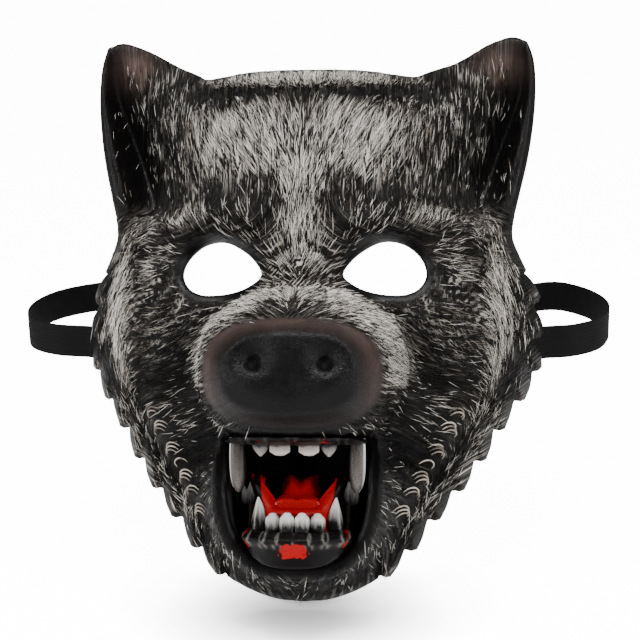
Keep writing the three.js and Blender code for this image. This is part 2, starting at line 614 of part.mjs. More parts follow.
function teethAndGums() {
  const jaws = {
    upper: gum(UPPER_HALF, UPPER_FRONT, UPPER_BACK, upperBite, -MOUTH_DROP + 0.1 * MOUTH_HEIGHT),
    lower: gum(LOWER_HALF, LOWER_FRONT, LOWER_BACK, lowerBite, -MOUTH_DROP - 1.05 * MOUTH_HEIGHT),
  };
  const teeth = [];
  for (const row of TEETH) {
    const spot = seat(row);
    for (const side of [-1, 1]) {
      const shaped = {
        profile: row.profile,
        wide: row.wide * MOUTH_WIDTH,
        deep: row.deep * MOUTH_WIDTH,
        long: (row.long + row.root) * MOUTH_HEIGHT,
        lean: side * row.lean * MOUTH_WIDTH,
        hook: row.hook * MOUTH_WIDTH,
      };
      const solid = place(tooth(shaped), side * spot.x, spot.height, spot.z, spot.points);
      const shaft = { ...shaped, profile: SOCKET, long: MOUTH_HEIGHT, lean: 0, hook: 0 };
      const socket = place(tooth(shaft, CLEARANCE), side * spot.x, spot.height, spot.z, spot.points);
      jaws[row.jaw] = jaws[row.jaw].subtract(socket);
      teeth.push({ name: `${row.name}_${side < 0 ? 'left' : 'right'}`, solid: insideMouth(solid) });
    }
  }
  return { upper: insideMouth(jaws.upper), lower: insideMouth(jaws.lower), teeth };
}

// Tongue: broad at the throat, low and round at its tip, with a furrow down its middle
function tongue() {
  const rows = [
    { deep: 0, wide: 1, rise: 1 }, { deep: 0.3, wide: 1, rise: 0.9 },
    { deep: 0.6, wide: 0.96, rise: 0.66 }, { deep: 0.85, wide: 0.86, rise: 0.52 },
    { deep: 0.96, wide: 0.7, rise: 0.44 }, { deep: 1, wide: 0.5, rise: 0.36 },
  ];
  const back = POCKET_BACK + POCKET_WALL;
  const floor = -MOUTH_DROP - 1.03 * MOUTH_HEIGHT;
  const long = LOWER_FRONT - 0.75 * GUM_THICKNESS - back;
  const tall = 0.62 * MOUTH_HEIGHT;
  const rings = rows.map((row) => {
    const half = (row.wide * TONGUE_WIDTH) / 2;
    const top = floor + (0.08 + row.rise) * tall;
    const y = -(back + row.deep * long);
    const brow = top - 0.033 * tall;
    const side = [[-1, floor], [-1, top - 0.11 * tall], [-0.8, top - 0.028 * tall], [-0.4, top], [0, brow]];
    const ring = side.map(([out, z]) => new THREE.Vector3(out * half, y, z));
    const other = side.slice(0, -1).reverse().map(([out, z]) => new THREE.Vector3(-out * half, y, z));
    return [...ring, ...other];
  });
  return insideMouth(loft(rings));
}

// Strap: one elastic loop in a level plane, its ends held by pads glued inside the rim

const lean = THREE.MathUtils.degToRad(FACE_LEAN);
const faceTurn = new THREE.Matrix4().makeRotationX(-lean);
const wornTurn = faceTurn.clone().invert();

// A place on the foam's inner face at the strap's level, where the face has one height.
function onInnerWall(height, off) {
  const z = (-STRAP_DROP - height * Math.sin(lean)) / Math.cos(lean);
  let low = 0.5 * HALF;
  let high = HALF;
  for (let i = 0; i < 30; i += 1) {
    const middle = (low + high) / 2;
    if (innerHeight(middle, z, WALL + off) > height) low = middle;
    else high = middle;
  }
  const worn = new THREE.Vector3(low, -height, z).applyMatrix4(faceTurn);
  return new THREE.Vector2(worn.x, worn.y);
}

const STRAP_OFF = ANCHOR_THICKNESS / 2 + CLEARANCE;
const anchorTop = 0.36 * FACE_DEPTH;
const anchorFoot = 0.1 * FACE_DEPTH;
// The free part of the loop: out runs from 0 at the rim to 1 at the loop's half width,
// deep is a share of its depth.
const LOOP = [
  { out: 0.19, deep: 0.026 }, { out: 0.58, deep: 0.08 }, { out: 0.88, deep: 0.21 },
  { out: 1, deep: 0.46 }, { out: 0.85, deep: 0.72 }, { out: 0.43, deep: 0.9 }, { out: -0.25, deep: 0.98 },
  { out: -1.1, deep: 1 },
];

function strapCurve() {
  const side = (sign) => {
    const wall = [anchorTop, (anchorTop + anchorFoot) / 2, anchorFoot].map((h) => onInnerWall(h, STRAP_OFF));
    const rim = wall[2].x;
    const free = LOOP.map((row) => {
      const shift = sign * LOOP_SHIFT * smoothStep(0.1, 0.85, row.out);
      return new THREE.Vector2(rim + row.out * (LOOP_WIDTH / 2 - rim) + shift, row.deep * LOOP_DEPTH);
    });
    return [...wall, ...free].map((p) => new THREE.Vector2(sign * p.x, p.y));
  };
  const back = new THREE.Vector2(0, LOOP_DEPTH);
  return new THREE.SplineCurve([...side(-1), back, ...side(1).reverse()]);
}

// The sides of the loop are level, and its back hangs in a curve between them.
function strapLevel(p) {
  if (p.y < LOOP_DEPTH / 2) return -STRAP_DROP;
  const t = p.x / (0.4 * LOOP_WIDTH);
  return -STRAP_DROP - smoothMax(0, LOOP_SAG * (1 - t * t), 0.15 * LOOP_SAG);
}

const strapRun = strapCurve();
function ribbon(thickness, width, steps = 60) {
  const rings = [];
  for (let i = 0; i <= steps; i += 1) {
    const p = strapRun.getPointAt(i / steps);
    const run = strapRun.getTangentAt(i / steps);
    const level = strapLevel(p);
    const corner = (out, up) => {
      const off = (out * thickness) / 2;
      return new THREE.Vector3(p.x + off * run.y, p.y - off * run.x, level + (up * width) / 2);
    };
    rings.push([corner(1, 1), corner(1, -1), corner(-1, -1), corner(-1, 1)]);
  }
  return loft(rings);
}

// The pad follows the foam's inner face and holds the strap's end in a slot.
function anchorPad(side) {
  const slotShare = ANCHOR_LENGTH / strapRun.getLength();
  const room = toGeometry(ribbon(STRAP_THICKNESS + 2 * CLEARANCE, STRAP_WIDTH + 2 * CLEARANCE));
  const slot = toSolid(room.applyMatrix4(wornTurn));
  const share = side < 0 ? slotShare / 2 : 1 - slotShare / 2;
  const middle = strapRun.getPointAt(share);
  const centre = new THREE.Vector3(middle.x, middle.y, -STRAP_DROP).applyMatrix4(wornTurn);
  const run = strapRun.getTangentAt(share);
  const tall = STRAP_WIDTH + 2 * ANCHOR_MARGIN;
  const box = new THREE.BoxGeometry(ANCHOR_LENGTH + ANCHOR_MARGIN, 4 * ANCHOR_THICKNESS, tall);
  box.rotateZ(Math.atan2(run.y, run.x)).translate(middle.x, middle.y, -STRAP_DROP).applyMatrix4(wornTurn);
  const xs = covering(GRID_X, centre.x - ANCHOR_LENGTH, centre.x + ANCHOR_LENGTH);
  const zs = covering(GRID_Z, centre.z - STRAP_WIDTH, centre.z + STRAP_WIDTH);
  const upper = (x, z) => innerHeight(x, z, WALL + CLEARANCE);
  const lower = (x, z) => innerHeight(x, z, WALL + CLEARANCE + ANCHOR_THICKNESS);
  return slab(xs, zs, upper, lower).intersect(toSolid(box)).subtract(slot);
}

// Assembly

const mask = new THREE.Group();
const face = new THREE.Group();
face.rotation.x = -lean;
mask.add(face);

const paint = (color, roughness) => new THREE.MeshStandardMaterial({ color, roughness });
function addTo(group, name, geometry, material) {
  const mesh = new THREE.Mesh(geometry, material);
  mesh.name = name;
  group.add(mesh);
}

const gums = teethAndGums();
addTo(face, 'face_shell', toGeometry(faceShell()), paint('#2a2826', 0.8));
addTo(face, 'mouth_lining', toGeometry(mouthPocket()), paint('#141212', 0.6));
addTo(face, 'upper_gum', toGeometry(gums.upper), paint('#2a1414', 0.45));
addTo(face, 'lower_gum', toGeometry(gums.lower), paint('#c8201c', 0.4));
addTo(face, 'tongue', toGeometry(tongue()), paint('#d8241f', 0.35));
for (const { name, solid } of gums.teeth) addTo(face, name, toGeometry(solid), paint('#e4e2dc', 0.25));
for (const side of [-1, 1]) {
  const name = side < 0 ? 'strap_pad_left' : 'strap_pad_right';
  addTo(face, name, toGeometry(anchorPad(side)), paint('#1b1b1b', 0.85));
}
addTo(mask, 'elastic_strap', toGeometry(ribbon(STRAP_THICKNESS, STRAP_WIDTH)), paint('#171717', 0.8));

export default mask;
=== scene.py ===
import json
import math

import bmesh
import bpy
import numpy as np
from mathutils import Matrix, Vector

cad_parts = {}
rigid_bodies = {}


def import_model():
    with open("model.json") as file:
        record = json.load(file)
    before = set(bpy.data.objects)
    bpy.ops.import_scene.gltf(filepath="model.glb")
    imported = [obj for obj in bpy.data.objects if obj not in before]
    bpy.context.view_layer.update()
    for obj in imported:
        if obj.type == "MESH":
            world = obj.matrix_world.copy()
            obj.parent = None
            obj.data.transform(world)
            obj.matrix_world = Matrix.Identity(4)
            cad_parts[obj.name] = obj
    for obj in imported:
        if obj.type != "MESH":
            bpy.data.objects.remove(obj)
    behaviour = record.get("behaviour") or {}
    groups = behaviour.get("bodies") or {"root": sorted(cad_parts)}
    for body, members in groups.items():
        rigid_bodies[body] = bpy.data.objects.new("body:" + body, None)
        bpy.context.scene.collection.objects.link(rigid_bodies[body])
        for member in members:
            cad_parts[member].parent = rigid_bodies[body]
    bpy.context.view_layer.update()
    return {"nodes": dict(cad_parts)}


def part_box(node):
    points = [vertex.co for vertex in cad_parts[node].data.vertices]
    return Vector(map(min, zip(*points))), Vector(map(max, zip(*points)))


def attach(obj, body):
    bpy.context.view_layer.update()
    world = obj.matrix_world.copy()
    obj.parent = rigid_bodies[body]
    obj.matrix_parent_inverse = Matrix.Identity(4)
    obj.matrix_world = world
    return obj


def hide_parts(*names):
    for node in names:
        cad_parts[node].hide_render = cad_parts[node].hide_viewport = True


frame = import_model()

# Camera and studio. The photo looks down by 15 degrees and a little from the mask's
# own left, from 0.7 m, onto a white sweep that the chin almost touches.
MM = 0.001
LEAN = math.radians(15.0)


def worn(x, height, z):
    """Turns a place in the face's own frame, in mm, into metres in the object's frame."""
    y = z * math.sin(LEAN) - height * math.cos(LEAN)
    up = z * math.cos(LEAN) + height * math.sin(LEAN)
    return np.stack(np.broadcast_arrays(x, y, up), -1) * MM


VIEW_SIDE = math.radians(5.0)
VIEW_DISTANCE = 0.700
IMAGE_PIXELS = 640
FOCAL_PIXELS = 1449
SENSOR_MM = 36
aim = Vector(worn(5.8, 30, -24))
toward = Vector(worn(math.sin(VIEW_SIDE), math.cos(VIEW_SIDE), 0)).normalized()
camera_up = Vector(worn(0, 0, 1)).normalized()
camera_right = camera_up.cross(toward)
camera_data = bpy.data.cameras.new("photo_camera")
camera_data.sensor_width = SENSOR_MM
camera_data.lens = FOCAL_PIXELS / IMAGE_PIXELS * SENSOR_MM
camera_data.clip_start = 0.01
camera = bpy.data.objects.new("photo_camera", camera_data)
camera.location = aim + toward * VIEW_DISTANCE
camera.rotation_euler = Matrix((camera_right, camera_up, toward)).transposed().to_euler()
bpy.context.collection.objects.link(camera)
bpy.context.scene.camera = camera


def linear(hex_colour):
    """A colour as a designer writes it, in the linear values that the shader wants."""
    parts = [int(hex_colour[i:i + 2], 16) / 255 for i in (1, 3, 5)]
    return tuple(c / 12.92 if c <= 0.04045 else ((c + 0.055) / 1.055) ** 2.4 for c in parts) + (1.0,)


def node(tree, kind, settings=None, **links):
    """Adds one node: settings are its own properties, links its inputs by name or number."""
    made = tree.nodes.new(kind)
    for name, value in (settings or {}).items():
        setattr(made, name, value)
    for name, value in links.items():
        by_number = name[0] == "i" and name[1:].isdigit()
        socket = made.inputs[int(name[1:])] if by_number else made.inputs[name.replace("_", " ")]
        if isinstance(value, bpy.types.NodeSocket):
            tree.links.new(value, socket)
        else:
            socket.default_value = value
    return made


def new_material(name):
    """A new material with its node tree and its shader."""
    made = bpy.data.materials.new(name)
    made.use_nodes = True
    return made, made.node_tree, made.node_tree.nodes["Principled BSDF"]


def dress(cad_node, material):
    """Gives a CAD node that keeps its shape another material."""
    for place in frame["nodes"][cad_node].material_slots:
        place.link = "OBJECT"
        place.material = material


def area_light(name, place, size, power, colour):
    data = bpy.data.lights.new(name, "AREA")
    data.shape = "RECTANGLE"
    data.size, data.size_y = size
    data.energy = power
    data.color = linear(colour)[:3]
    lamp = bpy.data.objects.new(name, data)
    lamp.location = place
    lamp.rotation_euler = (aim - Vector(place)).to_track_quat("-Z", "Y").to_euler()
    bpy.context.collection.objects.link(lamp)


area_light("top_softbox", (0.0, -0.25, 1.1), (0.45, 0.3), 17.0, "#ffffff")
area_light("left_softbox", (-0.9, -0.6, 0.35), (0.25, 0.6), 8.4, "#ffffff")
area_light("right_softbox", (0.9, -0.6, 0.35), (0.25, 0.6), 8.4, "#ffffff")
world = bpy.data.worlds.new("studio")
world.use_nodes = True
world.node_tree.nodes["Background"].inputs["Color"].default_value = (1, 1, 1, 1)
BACKDROP_GLOW = 14.0  # sweep and room are lit from behind, which only the camera sees
ROOM_LIGHT = 0.13
tree = world.node_tree
seen = node(tree, "ShaderNodeLightPath")
glow = node(tree, "ShaderNodeMath", {"operation": "MULTIPLY_ADD"}, i0=seen.outputs["Is Camera Ray"],
            i1=BACKDROP_GLOW, i2=ROOM_LIGHT)
tree.links.new(glow.outputs["Value"], tree.nodes["Background"].inputs["Strength"])
bpy.context.scene.world = world

FLOOR_Z = float(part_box("face_shell")[0][2]) - 0.003
FLOOR_HALF = 40.0
floor_mesh = bpy.data.meshes.new("sweep")
corners = [(-FLOOR_HALF, -FLOOR_HALF, FLOOR_Z), (FLOOR_HALF, -FLOOR_HALF, FLOOR_Z),
           (FLOOR_HALF, FLOOR_HALF, FLOOR_Z), (-FLOOR_HALF, FLOOR_HALF, FLOOR_Z)]
floor_mesh.from_pydata(corners, [], [(0, 1, 2, 3)])
floor = bpy.data.objects.new("sweep", floor_mesh)
bpy.context.collection.objects.link(floor)
# The sweep darkens only close under the chin, as the soft shadow of a near contact.
paper, tree, shader = new_material("white_paper_sweep")
shader.inputs["Base Color"].default_value = linear("#fdfdfd")
shader.inputs["Roughness"].default_value = 0.9
shader.inputs["Emission Color"].default_value = (1, 1, 1, 1)
seen = node(tree, "ShaderNodeLightPath")
under = node(tree, "ShaderNodeAmbientOcclusion", {"samples": 16}, Distance=0.05)
shade = node(tree, "ShaderNodeMath", {"operation": "POWER"}, i0=under.outputs["AO"], i1=4.0)
lit = node(tree, "ShaderNodeMath", {"operation": "MULTIPLY"}, i0=shade.outputs["Value"], i1=BACKDROP_GLOW)
glow = node(tree, "ShaderNodeMath", {"operation": "MULTIPLY"}, i0=seen.outputs["Is Camera Ray"],
            i1=lit.outputs["Value"])
tree.links.new(glow.outputs["Value"], shader.inputs["Emission Strength"])
floor_mesh.materials.append(paper)

# Foam face. One piece of polyurethane foam, moulded about 4 mm thick over a male form:
# ears, brow, snout, nose pad and lips in one skin, its lower edge trimmed in scallops.
# It comes out of the mould black, and the fur is brushed on over the raised clumps.
FACE_WIDTH = 224.6
FACE_HEIGHT = 270.3
FACE_DEPTH = 67.0
EYE_LINE = 0.5745
WALL = 4.0
SCALLOP_DEPTH = 3.6
SCALLOP_PITCH = 16.5
EAR_CUP = 25.0
SNOUT_REACH = 118.0
SNOUT_WIDTH = 84.0
SNOUT_HEIGHT = 62.0
SNOUT_DROP = 46.0
NOSE_WIDTH = 76.5
NOSE_HEIGHT = 46.0
NOSE_RISE = 11.0
NOSTRIL_DIAMETER = 4.4
NOSTRIL_SPACING = 31.0
EYE_WIDTH = 38.4
EYE_HEIGHT = 24.6
EYE_SPACING = 77.0
EYE_ROLL = 3.4
MOUTH_WIDTH = 63.6
MOUTH_HEIGHT = 58.5
MOUTH_DROP = 74.5
JAW_REACH = 86.0
JAW_WIDTH = 76.0
HALF = FACE_WIDTH / 2

# Cross sections, from chin to ear tips: share of the height, share of the half width,
# and the depth's share at five stations from the middle to the rim.
STATIONS = [0, 0.35, 0.62, 0.85, 1]
SECTIONS = [
    (-0.036, 0.36, (0.70, 0.69, 0.68, 0.72, 0.74)),
    (0.005, 0.36, (0.86, 0.84, 0.80, 0.78, 0.78)),
    (0.045, 0.42, (0.97, 0.94, 0.90, 0.84, 0.80)),
    (0.097, 0.49, (0.97, 0.94, 0.91, 0.86, 0.77)),
    (0.179, 0.63, (0.91, 0.88, 0.86, 0.77, 0.62)),
    (0.26, 0.79, (0.88, 0.86, 0.79, 0.62, 0.38)),
    (0.353, 0.94, (0.91, 0.89, 0.77, 0.50, 0.12)),
    (0.445, 1.01, (0.94, 0.91, 0.78, 0.46, 0.02)),
    (0.538, 0.98, (0.98, 0.89, 0.78, 0.46, 0.03)),
    (0.612, 0.92, (1.00, 0.89, 0.77, 0.44, 0.05)),
    (0.678, 0.90, (0.97, 0.91, 0.75, 0.42, 0.02)),
    (0.76, 0.86, (0.91, 0.86, 0.67, 0.34, -0.06)),
    (0.834, 0.81, (0.80, 0.75, 0.55, 0.23, -0.09)),
    (0.889, 0.73, (0.67, 0.61, 0.42, 0.16, -0.12)),
    (0.934, 0.64, (0.53, 0.47, 0.30, 0.08, -0.16)),
    (1.0, 0.58, (0.28, 0.23, 0.12, 0.00, -0.19)),
]
# Half outline of the rim, as shares of the half width and of the height.
OUTLINE = [
    (0, 0.931), (0.24, 0.929), (0.38, 0.926), (0.46, 0.927), (0.52, 0.943), (0.7, 0.986), (0.8, 1.004),
    (0.88, 1.014), (0.935, 1.009), (0.972, 0.99), (0.99, 0.953), (0.99, 0.893), (0.975, 0.834),
    (0.952, 0.778), (0.92, 0.722), (0.893, 0.674), (0.884, 0.637), (0.915, 0.604), (0.965, 0.559),
    (0.993, 0.508), (1, 0.448), (0.983, 0.389), (0.905, 0.341), (0.83, 0.3), (0.76, 0.255),
    (0.68, 0.21), (0.595, 0.169), (0.515, 0.131), (0.44, 0.092), (0.35, 0.055), (0.24, 0.025),
    (0.115, 0.005), (0, 0),
]
SCALLOPS_FROM = 0.575
SCALLOPS_TO = 0.045
# The ear's cup: height share, crease and lip as shares of the half width, and the cup's
# floor, outer edge and root as shares of its depth.
EAR = [
    (0.593, 0.69, 0.925, 0.64, 0.24, 1.6), (0.648, 0.716, 0.9, -0.08, 0.32, 1.5),
    (0.726, 0.766, 0.925, -0.68, 0.24, 1.2), (0.808, 0.834, 0.966, -0.84, 0.08, 0.7),
    (0.9, 0.916, 0.988, -0.8, -0.08, 0.2), (0.959, 0.938, 0.984, -0.56, -0.16, -0.08),
    (1.004, 0.934, 0.961, -0.32, -0.2, -0.24),
]
# Swellings and dents: place out and up, size wide and tall, turn in degrees, rise.
RELIEF = [
    (0.27, 0.819, 0.22, 0.048, -8, 0.08),  # forehead lobe
    (0, 0.841, 0.065, 0.096, 0, -0.065),  # forehead furrow
    (0.18, 0.915, 0.36, 0.0185, 0, 0.07),  # crest roll
    (0.2, 0.882, 0.36, 0.0167, 0, -0.055),  # crest groove
    (0.45, 0.663, 0.2, 0.03, 12, 0.13),  # brow
    (0.245, 0.656, 0.11, 0.044, -35, 0.08),  # frown
    (0.36, 0.604, 0.2, 0.033, 6, -0.14),  # eye socket
    (0.345, 0.563, 0.22, 0.044, 0, -0.09),  # eye floor
    (0, 0.63, 0.127, 0.148, 0, 0.09),  # bridge
    (0.6, 0.486, 0.145, 0.044, 30, 0.09),  # cheekbone
    (0.47, 0.493, 0.11, 0.03, -30, 0.06),  # eye bag
    (0.48, 0.4, 0.075, 0.08, 10, -0.06),  # snout furrow
    (0.56, 0.315, 0.13, 0.074, -30, 0.06),  # jowl
    (0.86, 0.45, 0.045, 0.12, 0, 0.05),  # cheek edge
    (0.138, 0.425, 0.055, 0.021, 0, -0.065),  # nostril dimple
    (0.16, 0.39, 0.12, 0.03, 20, 0.035),  # nostril wing
]
MOUTH = [(0, 0), (0.38, 0), (0.7, -0.008), (0.93, -0.03), (1, -0.1), (1.01, -0.32), (0.985, -0.52),
         (0.91, -0.72), (0.755, -0.87), (0.5, -0.965), (0.25, -0.995), (0, -1)]
EYE = [(-0.51, -0.12), (-0.4, 0.16), (-0.24, 0.36), (-0.07, 0.485), (0.1, 0.5), (0.28, 0.4), (0.43, 0.17),
       (0.49, -0.12), (0.42, -0.36), (0.27, -0.49), (0.06, -0.51), (-0.18, -0.45), (-0.38, -0.32)]


def smooth_step(start, end, value):
    t = np.clip((value - start) / (end - start), 0, 1)
    return t * t * (3 - 2 * t)


def smooth_max(a, b, blend):
    t = np.clip(0.5 + 0.5 * (a - b) / blend, 0, 1)
    return b * (1 - t) + a * t + blend * t * (1 - t)


def along(places, values, place):
    """Smooth curve through a table's rows; values has one row for each place in the table."""
    places = np.asarray(places, float)
    values = np.asarray(values, float)
    last = len(places) - 1
    spot = np.clip(place, places[0], places[last])
    i = np.clip(np.searchsorted(places, spot, side="right") - 1, 0, last - 1)
    before, after = np.maximum(np.arange(last + 1) - 1, 0), np.minimum(np.arange(last + 1) + 1, last)
    run = (places[after] - places[before]).reshape((-1,) + (1,) * (values.ndim - 1))
    slopes = (values[after] - values[before]) / run
    if values.ndim == 1:
        v0, v1, s0, s1 = values[i], values[i + 1], slopes[i], slopes[i + 1]
    else:
        each = np.arange(values.shape[1])
        v0, v1, s0, s1 = values[i, each], values[i + 1, each], slopes[i, each], slopes[i + 1, each]
    span = places[i + 1] - places[i]
    t = (spot - places[i]) / span
    rise = span * ((t**3 - 2 * t**2 + t) * s0 + (t**3 - t**2) * s1)
    return v0 + (v1 - v0) * t * t * (3 - 2 * t) + rise


def column(table, k):
    return [row[k] for row in table]


def face_height(x, up):
    ups = column(SECTIONS, 0)
    across = x / (HALF * along(ups, column(SECTIONS, 1), up))
    forms = np.stack([along(ups, [row[2][k] for row in SECTIONS], up) for k in range(len(STATIONS))])
    fall = (forms[-1] - forms[-2]) / (1 - STATIONS[-2])
    inside = along(STATIONS, forms, np.minimum(across, 1))
    return FACE_DEPTH * np.where(across >= 1, forms[-1] + 1.2 * fall * (across - 1), inside)


def ear_height(x, up):
    crease, lip, floor, edge, root = [along(column(EAR, 0), column(EAR, k), up) for k in range(1, 6)]
    crease, lip, floor = HALF * crease, HALF * lip, EAR_CUP * floor
    t = (x - crease) / np.maximum(1, lip - crease)
    outer = floor + (EAR_CUP * edge - floor) * smooth_step(0, 0.62, t)
    outer -= WALL * smooth_step(0.75, 1.15, t) + 2.5 * WALL * np.maximum(0, t - 1.15)
    inner = floor + (EAR_CUP * root - floor) * smooth_step(-0.05, 1, (crease - x) / (0.4 * HALF))
    return np.where(x > crease, outer, inner)


def oval(x, z, middle, half, above, below, power):
    tall = np.where(z > middle, above, below)
    return ((np.abs(x) / half) ** power + (np.abs(z - middle) / tall) ** power) ** (1 / power)


def mesa(on_top, on_foot, level, foot):
    t = np.clip((on_top - 1) / np.maximum(0.001, on_top - on_foot), 0, 3)
    side = level - (level - foot) * np.minimum(t, 1) ** 0.85 - level * np.maximum(0, t - 1)
    return np.where(on_top <= 1, level, side)


def snout_height(x, z):
    half, tall = SNOUT_WIDTH / 2, SNOUT_HEIGHT / 2
    top = oval(x, z, -SNOUT_DROP, half, tall, tall, 2.5)
    foot = oval(x, z, -SNOUT_DROP, half * 1.17, tall * 1.38, tall * 1.38, 2.3)
    lip = SNOUT_REACH - NOSE_RISE
    roll = 0.05 * SNOUT_REACH * smooth_step(0.82, 1, top)
    tuck = 0.042 * SNOUT_REACH * smooth_step(-0.62 * SNOUT_DROP, -0.4 * SNOUT_DROP, z)
    height = mesa(top, foot, lip - roll, 0.45 * SNOUT_REACH) - tuck
    pad = oval(x, z, -SNOUT_DROP - 1, NOSE_WIDTH / 2, NOSE_HEIGHT / 2, NOSE_HEIGHT / 2, 2.6)
    crown = 1 - 0.27 * smooth_step(0.35, 0.95, pad)
    return height + NOSE_RISE * crown * (1 - smooth_step(0.72, 1.04, pad))


def jaw_height(x, z):
    half = JAW_WIDTH / 2
    middle = -MOUTH_DROP - 0.43 * MOUTH_HEIGHT
    top = oval(x, z, middle, half, MOUTH_HEIGHT, 0.7 * MOUTH_HEIGHT, 2.4)
    foot = oval(x, z, middle, half * 1.5, 1.13 * MOUTH_HEIGHT, 0.94 * MOUTH_HEIGHT, 2.3)
    lean = 0.14 * JAW_REACH * smooth_step(middle - 0.08 * MOUTH_HEIGHT, -MOUTH_DROP, z)
    return mesa(top, foot, JAW_REACH, 0.62 * JAW_REACH) - lean


def relief_height(x, up):
    height = np.zeros_like(x)
    for out, at_up, wide, tall, turn, rise in RELIEF:
        c, s = math.cos(math.radians(turn)), math.sin(math.radians(turn))
        dx, dz = x - out * HALF, (up - at_up) * FACE_HEIGHT
        p = (dx * c + dz * s) / (wide * HALF)
        q = (dz * c - dx * s) / (tall * FACE_HEIGHT)
        height += rise * FACE_DEPTH * np.exp(-(p * p + q * q))
    return height


def eye_roll(x, z):
    dx, dz = (x - EYE_SPACING / 2) / (EYE_WIDTH / 2), z / (EYE_HEIGHT / 2)
    out = (np.hypot(dx, dz) - 1) * (EYE_HEIGHT / 2)
    upper = 0.45 + 0.55 * smooth_step(-0.6, 0.5, dz)
    return EYE_ROLL * np.exp(-((out / (0.9 * EYE_ROLL) - 1) ** 2)) * upper


def outer_height(side, z):
    """The moulded form: how far the skin stands over the rim's plane, in mm."""
    x = np.abs(side)
    up = z / FACE_HEIGHT + EYE_LINE
    crease = HALF * along(column(EAR, 0), column(EAR, 1), up)
    ear = smooth_step(0.605, 0.7, up) * smooth_step(0, 1, (x - (crease - 0.4 * HALF)) / (0.27 * HALF))
    height = face_height(x, up) * (1 - ear) + ear_height(x, up) * ear
    height = smooth_max(height, snout_height(x, z), 0.05 * SNOUT_REACH)
    height = smooth_max(height, jaw_height(x, z), 0.105 * JAW_REACH)
    return height + relief_height(x, up) + eye_roll(x, z)


def inner_height(x, z, wall):
    """The back of the foam: one wall under the skin, measured square to it."""
    lowest = outer_height(x, z) - wall
    for ring in (1, 2, 3):
        for step in range(10):
            turn = (step + ring / 2) / 10 * 2 * math.pi
            reach = wall * ring / 3
            drop = math.sqrt(max(0, wall * wall - reach * reach))
            aside = outer_height(x + reach * math.cos(turn), z + reach * math.sin(turn))
            lowest = np.minimum(lowest, aside - drop)
    return lowest


def curve_between(a, b, c, d, t):
    """The Catmull-Rom curve from b to c, at the shares t of the way."""
    return 0.5 * (2 * b + (c - a) * t + (2 * a - 5 * b + 4 * c - d) * t**2 + (3 * b - a - 3 * c + d) * t**3)


def spline(points, per_span):
    """Points on a smooth curve through a run of points."""
    p = np.asarray(points, float)
    p = np.vstack([2 * p[0] - p[1], p, 2 * p[-1] - p[-2]])
    out = []
    for i in range(1, len(p) - 2):
        t = np.linspace(0, 1, per_span, endpoint=False)[:, None]
        out.append(curve_between(*p[i - 1:i + 3], t))
    return np.vstack(out + [p[-2:-1]])


def both_sides(half):
    return np.vstack([half, half[-2:0:-1] * [-1, 1]])


def rim_outline():
    """Smooth over the crown and the ears, sawn into scallops down both cheeks."""
    raw = spline([(out * HALF, (up - EYE_LINE) * FACE_HEIGHT) for out, up in OUTLINE], 24)
    length = np.concatenate([[0], np.cumsum(np.linalg.norm(np.diff(raw, axis=0), axis=1))])
    s = np.linspace(0, length[-1], 900)
    half = np.stack([np.interp(s, length, raw[:, k]) for k in (0, 1)], 1)
    run = np.gradient(half, axis=0)
    run /= np.linalg.norm(run, axis=1)[:, None]
    up = half[:, 1] / FACE_HEIGHT + EYE_LINE
    cheek = (up < SCALLOPS_FROM) & (up > SCALLOPS_TO)
    start, end = s[cheek][0], s[cheek][-1]
    count = round((end - start) / SCALLOP_PITCH)
    phase = (s - start) / (end - start) * count % 1
    tooth = np.interp(phase, [0, 0.45, 0.8, 0.93, 1], [-0.45, 0.45, 0.85, 0.4, -0.45])
    out = np.where(cheek, tooth * SCALLOP_DEPTH, 0)
    phase = np.where(cheek, phase, -1)
    half = half + np.stack([-run[:, 1], run[:, 0]], 1) * out[:, None]
    half[0, 0] = half[-1, 0] = 0
    return both_sides(half), np.concatenate([phase, phase[-2:0:-1]])


def eye_outline(side):
    points = [(px * EYE_WIDTH, py * EYE_HEIGHT) for px, py in EYE]
    closed = spline([points[-1]] + points + [points[0], points[1]], 10)
    closed = closed[10:-10]
    return (closed[:-1] + [EYE_SPACING / 2, 0]) * [side, 1]


def mouth_outline():
    half = [(out * MOUTH_WIDTH / 2, up * MOUTH_HEIGHT - MOUTH_DROP) for out, up in MOUTH]
    return both_sides(spline(half, 8))


def inside(outline, x, z):
    """Which places lie inside a closed outline, by counting crossings."""
    found = np.zeros(x.shape, bool)
    for (ax, az), (bx, bz) in zip(outline, np.roll(outline, -1, axis=0)):
        if az == bz:
            continue
        crosses = (az > z) != (bz > z)
        found ^= crosses & (x < (bx - ax) * (z - az) / (bz - az) + ax)
    return found


def nearest_on(outline, x, z):
    """Distance to an outline, and the nearest place on it."""
    best = np.full(x.shape, 1e9)
    near = np.stack([x, z], -1)
    for a, b in zip(outline, np.roll(outline, -1, axis=0)):
        run = b - a
        long = run @ run
        if long == 0:
            continue
        t = np.clip(((x - a[0]) * run[0] + (z - a[1]) * run[1]) / long, 0, 1)
        px, pz = a[0] + t * run[0], a[1] + t * run[1]
        d = np.hypot(x - px, z - pz)
        closer = d < best
        best = np.where(closer, d, best)
        near = np.where(closer[..., None], np.stack([px, pz], -1), near)
    return best, near


GRID = 1.04  # mm between the skin's mesh lines
grid_x = np.arange(-112, 113) * GRID
grid_z = np.arange(round(-158 / GRID), round(119 / GRID)) * GRID
X, Z = np.meshgrid(grid_x, grid_z)
middle_x, middle_z = (X[:-1, :-1] + X[1:, 1:]) / 2, (Z[:-1, :-1] + Z[1:, 1:]) / 2
rim, rim_phase = rim_outline()
holes = [eye_outline(-1), eye_outline(1), mouth_outline()]
kept = inside(rim, middle_x, middle_z)
for hole in holes:
    kept &= ~inside(hole, middle_x, middle_z)

